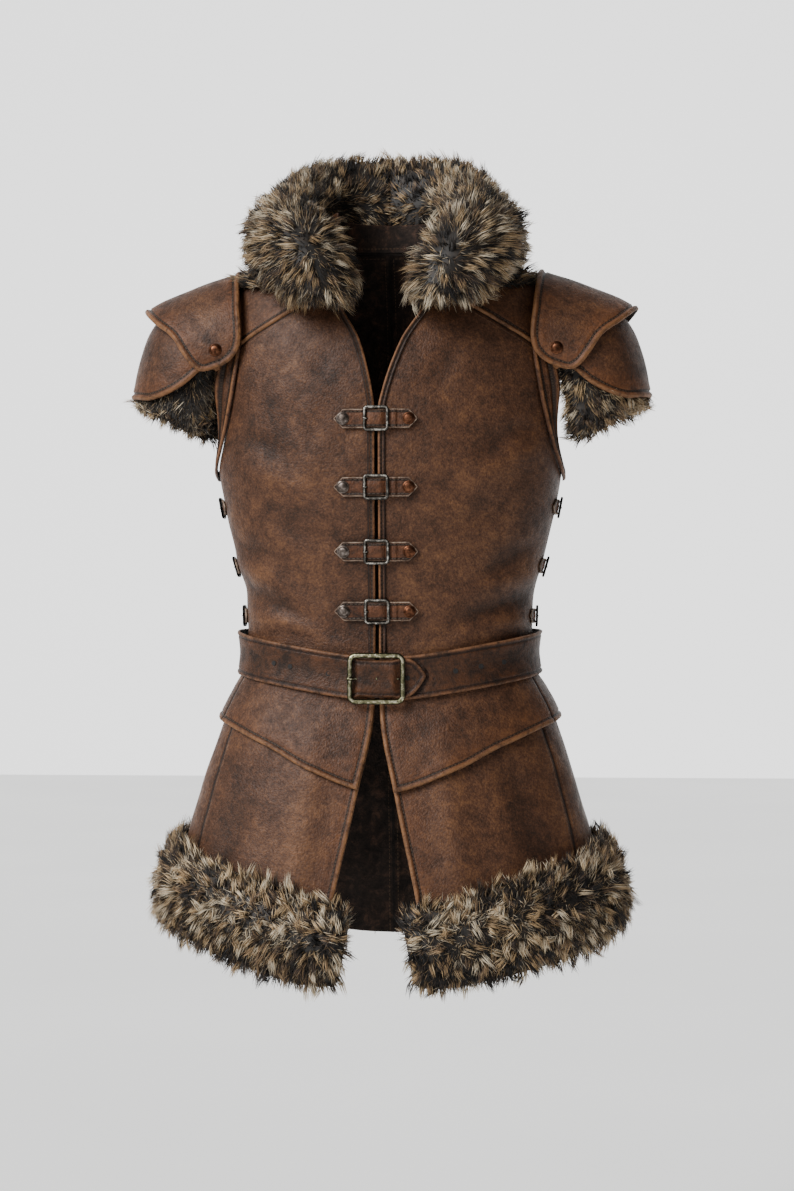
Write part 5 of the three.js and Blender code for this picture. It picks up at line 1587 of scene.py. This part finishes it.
# True for the wall's upper cells that the lower cap hides, up to 14 mm from its edge.
def capCovers(shape):
    turn, s = sleeveGrid(shape[0] + 1, (shape[1] + 1) // 2)
    turn = np.abs(turn)
    hidden = (s < through(armCut, 2, turn) - 14) & (turn < armCut[-1, 0] - 4)
    return np.concatenate([hidden, np.zeros_like(hidden)], 1)[:shape[0], :shape[1]]


# Lay of the sleeve's pile: down and outwards, and towards the body at the pelt's ends.
def sleeveLay(normals, share, hand):
    toBody = smoothStep(0.38, 0.47, np.abs(share - 0.5))
    lays = np.stack([hand * (0.5 - 1.3 * toBody), 0 * share, -1 + 0 * share], 1)
    return lays - normals * (lays * normals).sum(1, keepdims=True)


for side, hand in hands.items():
    wall = sleeveWall(hand)
    fine = np.concatenate([wall, wall[:, :1]], 1)
    cells = (fine[1:, 1:] + fine[:-1, :-1]) / 2
    # more hair low down and in front, none under the cap
    weight = (0.25 + 1.2 * smoothStep(-120, -190, cells[..., 2])
              + 0.6 * smoothStep(-70, -84, cells[..., 1]))
    weight[capCovers(weight.shape)] = 0
    growFur(f"sleeveFur{side.capitalize()}", wall, sleeveLook,
            lambda spots, normals, share: (sleeveLay(normals, share, hand), 0),
            [f"fur_sleeve_{side}"], weight)
print("vest: sleeve fur grown")


# matt paper floor, with faint clouds 900 mm across
floorMaterial, tree = newMaterial("paleStudioFloor")
place = addNode(tree, "TexCoord", output="Object")
shade = addNode(tree, "TexNoise", {"Vector": place, "Scale": 1000 / 900, "Detail": 2.0})
paper = addNode(tree, "ValToRGB", (shade,), stops=[(0.3, "#f8f8f7"), (0.7, "#fdfdfc")])
skin = addNode(tree, "BsdfPrincipled", {"Base Color": paper, "Roughness": 0.95})
addNode(tree, "OutputMaterial", {"Surface": skin})
floorMesh = bpy.data.meshes.new("studioFloor")
floorLook = {"half": 9, "front": -6, "back": 12, "level": -1.5}     # metres
floorMesh.from_pydata([
    (x, y, floorLook["level"])
    for y, way in ((floorLook["front"], 1), (floorLook["back"], -1))
    for x in (-floorLook["half"] * way, floorLook["half"] * way)], [], [(0, 1, 2, 3)])
floorMesh.materials.append(floorMaterial)
floor = bpy.data.objects.new("studioFloor", floorMesh)
bpy.context.scene.collection.objects.link(floor)

# Studio with a white wall behind and a dimmer one before, lighter to the wearer's right.
# Strength is the side level, less a slope along x, plus each wall's share of y squared.
studioLook = {"sides": 0.19, "slope": 0.17, "behind": 2.05, "before": 0.42, "sun": 5.6,
              "softness": 34.0}
world = bpy.data.worlds.new("whiteStudio")
world.use_nodes = True
tree = world.node_tree
direction = addNode(tree, "TexCoord", output="Generated")
sideways = addNode(tree, "SeparateXYZ", (direction,), output="X")
depth = addNode(tree, "SeparateXYZ", (direction,), output="Y")
level = addNode(tree, "Math", (sideways, -studioLook["slope"], studioLook["sides"]),
                operation="MULTIPLY_ADD")
for wall, way in (("behind", 1.0), ("before", -1.0)):
    facing = addNode(tree, "Math", (depth, way), operation="MULTIPLY", use_clamp=True)
    facing = addNode(tree, "Math", (facing, 2.0), operation="POWER")
    level = addNode(tree, "Math", (facing, studioLook[wall], level), operation="MULTIPLY_ADD")
paper = tree.nodes["Background"]
paper.inputs["Color"].default_value = hexColour("#ffffff")
tree.links.new(level, paper.inputs["Strength"])
bpy.context.scene.world = world


# Broad soft light that shines along the vector away: its tilt is the arctangent of the
# vector's rise over its level length, and its turn that of x over y.
def softSun(name, away, strength, softness):
    light = bpy.data.lights.new(name, "SUN")
    light.energy, light.angle = strength, np.radians(softness)
    made = bpy.data.objects.new(name, light)
    flat = np.hypot(away[0], away[1])
    made.rotation_euler = (np.pi / 2 + np.arctan2(away[2], flat), 0,
                           np.arctan2(-away[0], away[1]))
    bpy.context.scene.collection.objects.link(made)


softSun("screenLight", (0.94, 1.0, -0.95), studioLook["sun"], studioLook["softness"])

# distance, height and axisShift are metres, azimuth is degrees and lens millimetres
cameraLook = {"distance": 3.0, "azimuth": 4.0, "height": -0.412, "lens": 75.6,
              "axisShift": -0.0078}
angle = np.radians(cameraLook["azimuth"])
right = np.array([np.cos(angle), np.sin(angle), 0])
back = np.array([np.sin(angle), -np.cos(angle), 0])
camera = bpy.data.objects.new("frontCamera", bpy.data.cameras.new("frontCamera"))
camera.data.sensor_width, camera.data.sensor_fit = 36, "AUTO"
camera.data.lens = cameraLook["lens"]
camera.data.clip_end = 60
place = back * cameraLook["distance"] - right * cameraLook["axisShift"]
camera.location = (place[0], place[1], cameraLook["height"])
camera.rotation_euler = (np.pi / 2, 0, angle)
bpy.context.scene.collection.objects.link(camera)
bpy.context.scene.camera = camera
print("vest: floor, lights and camera set")
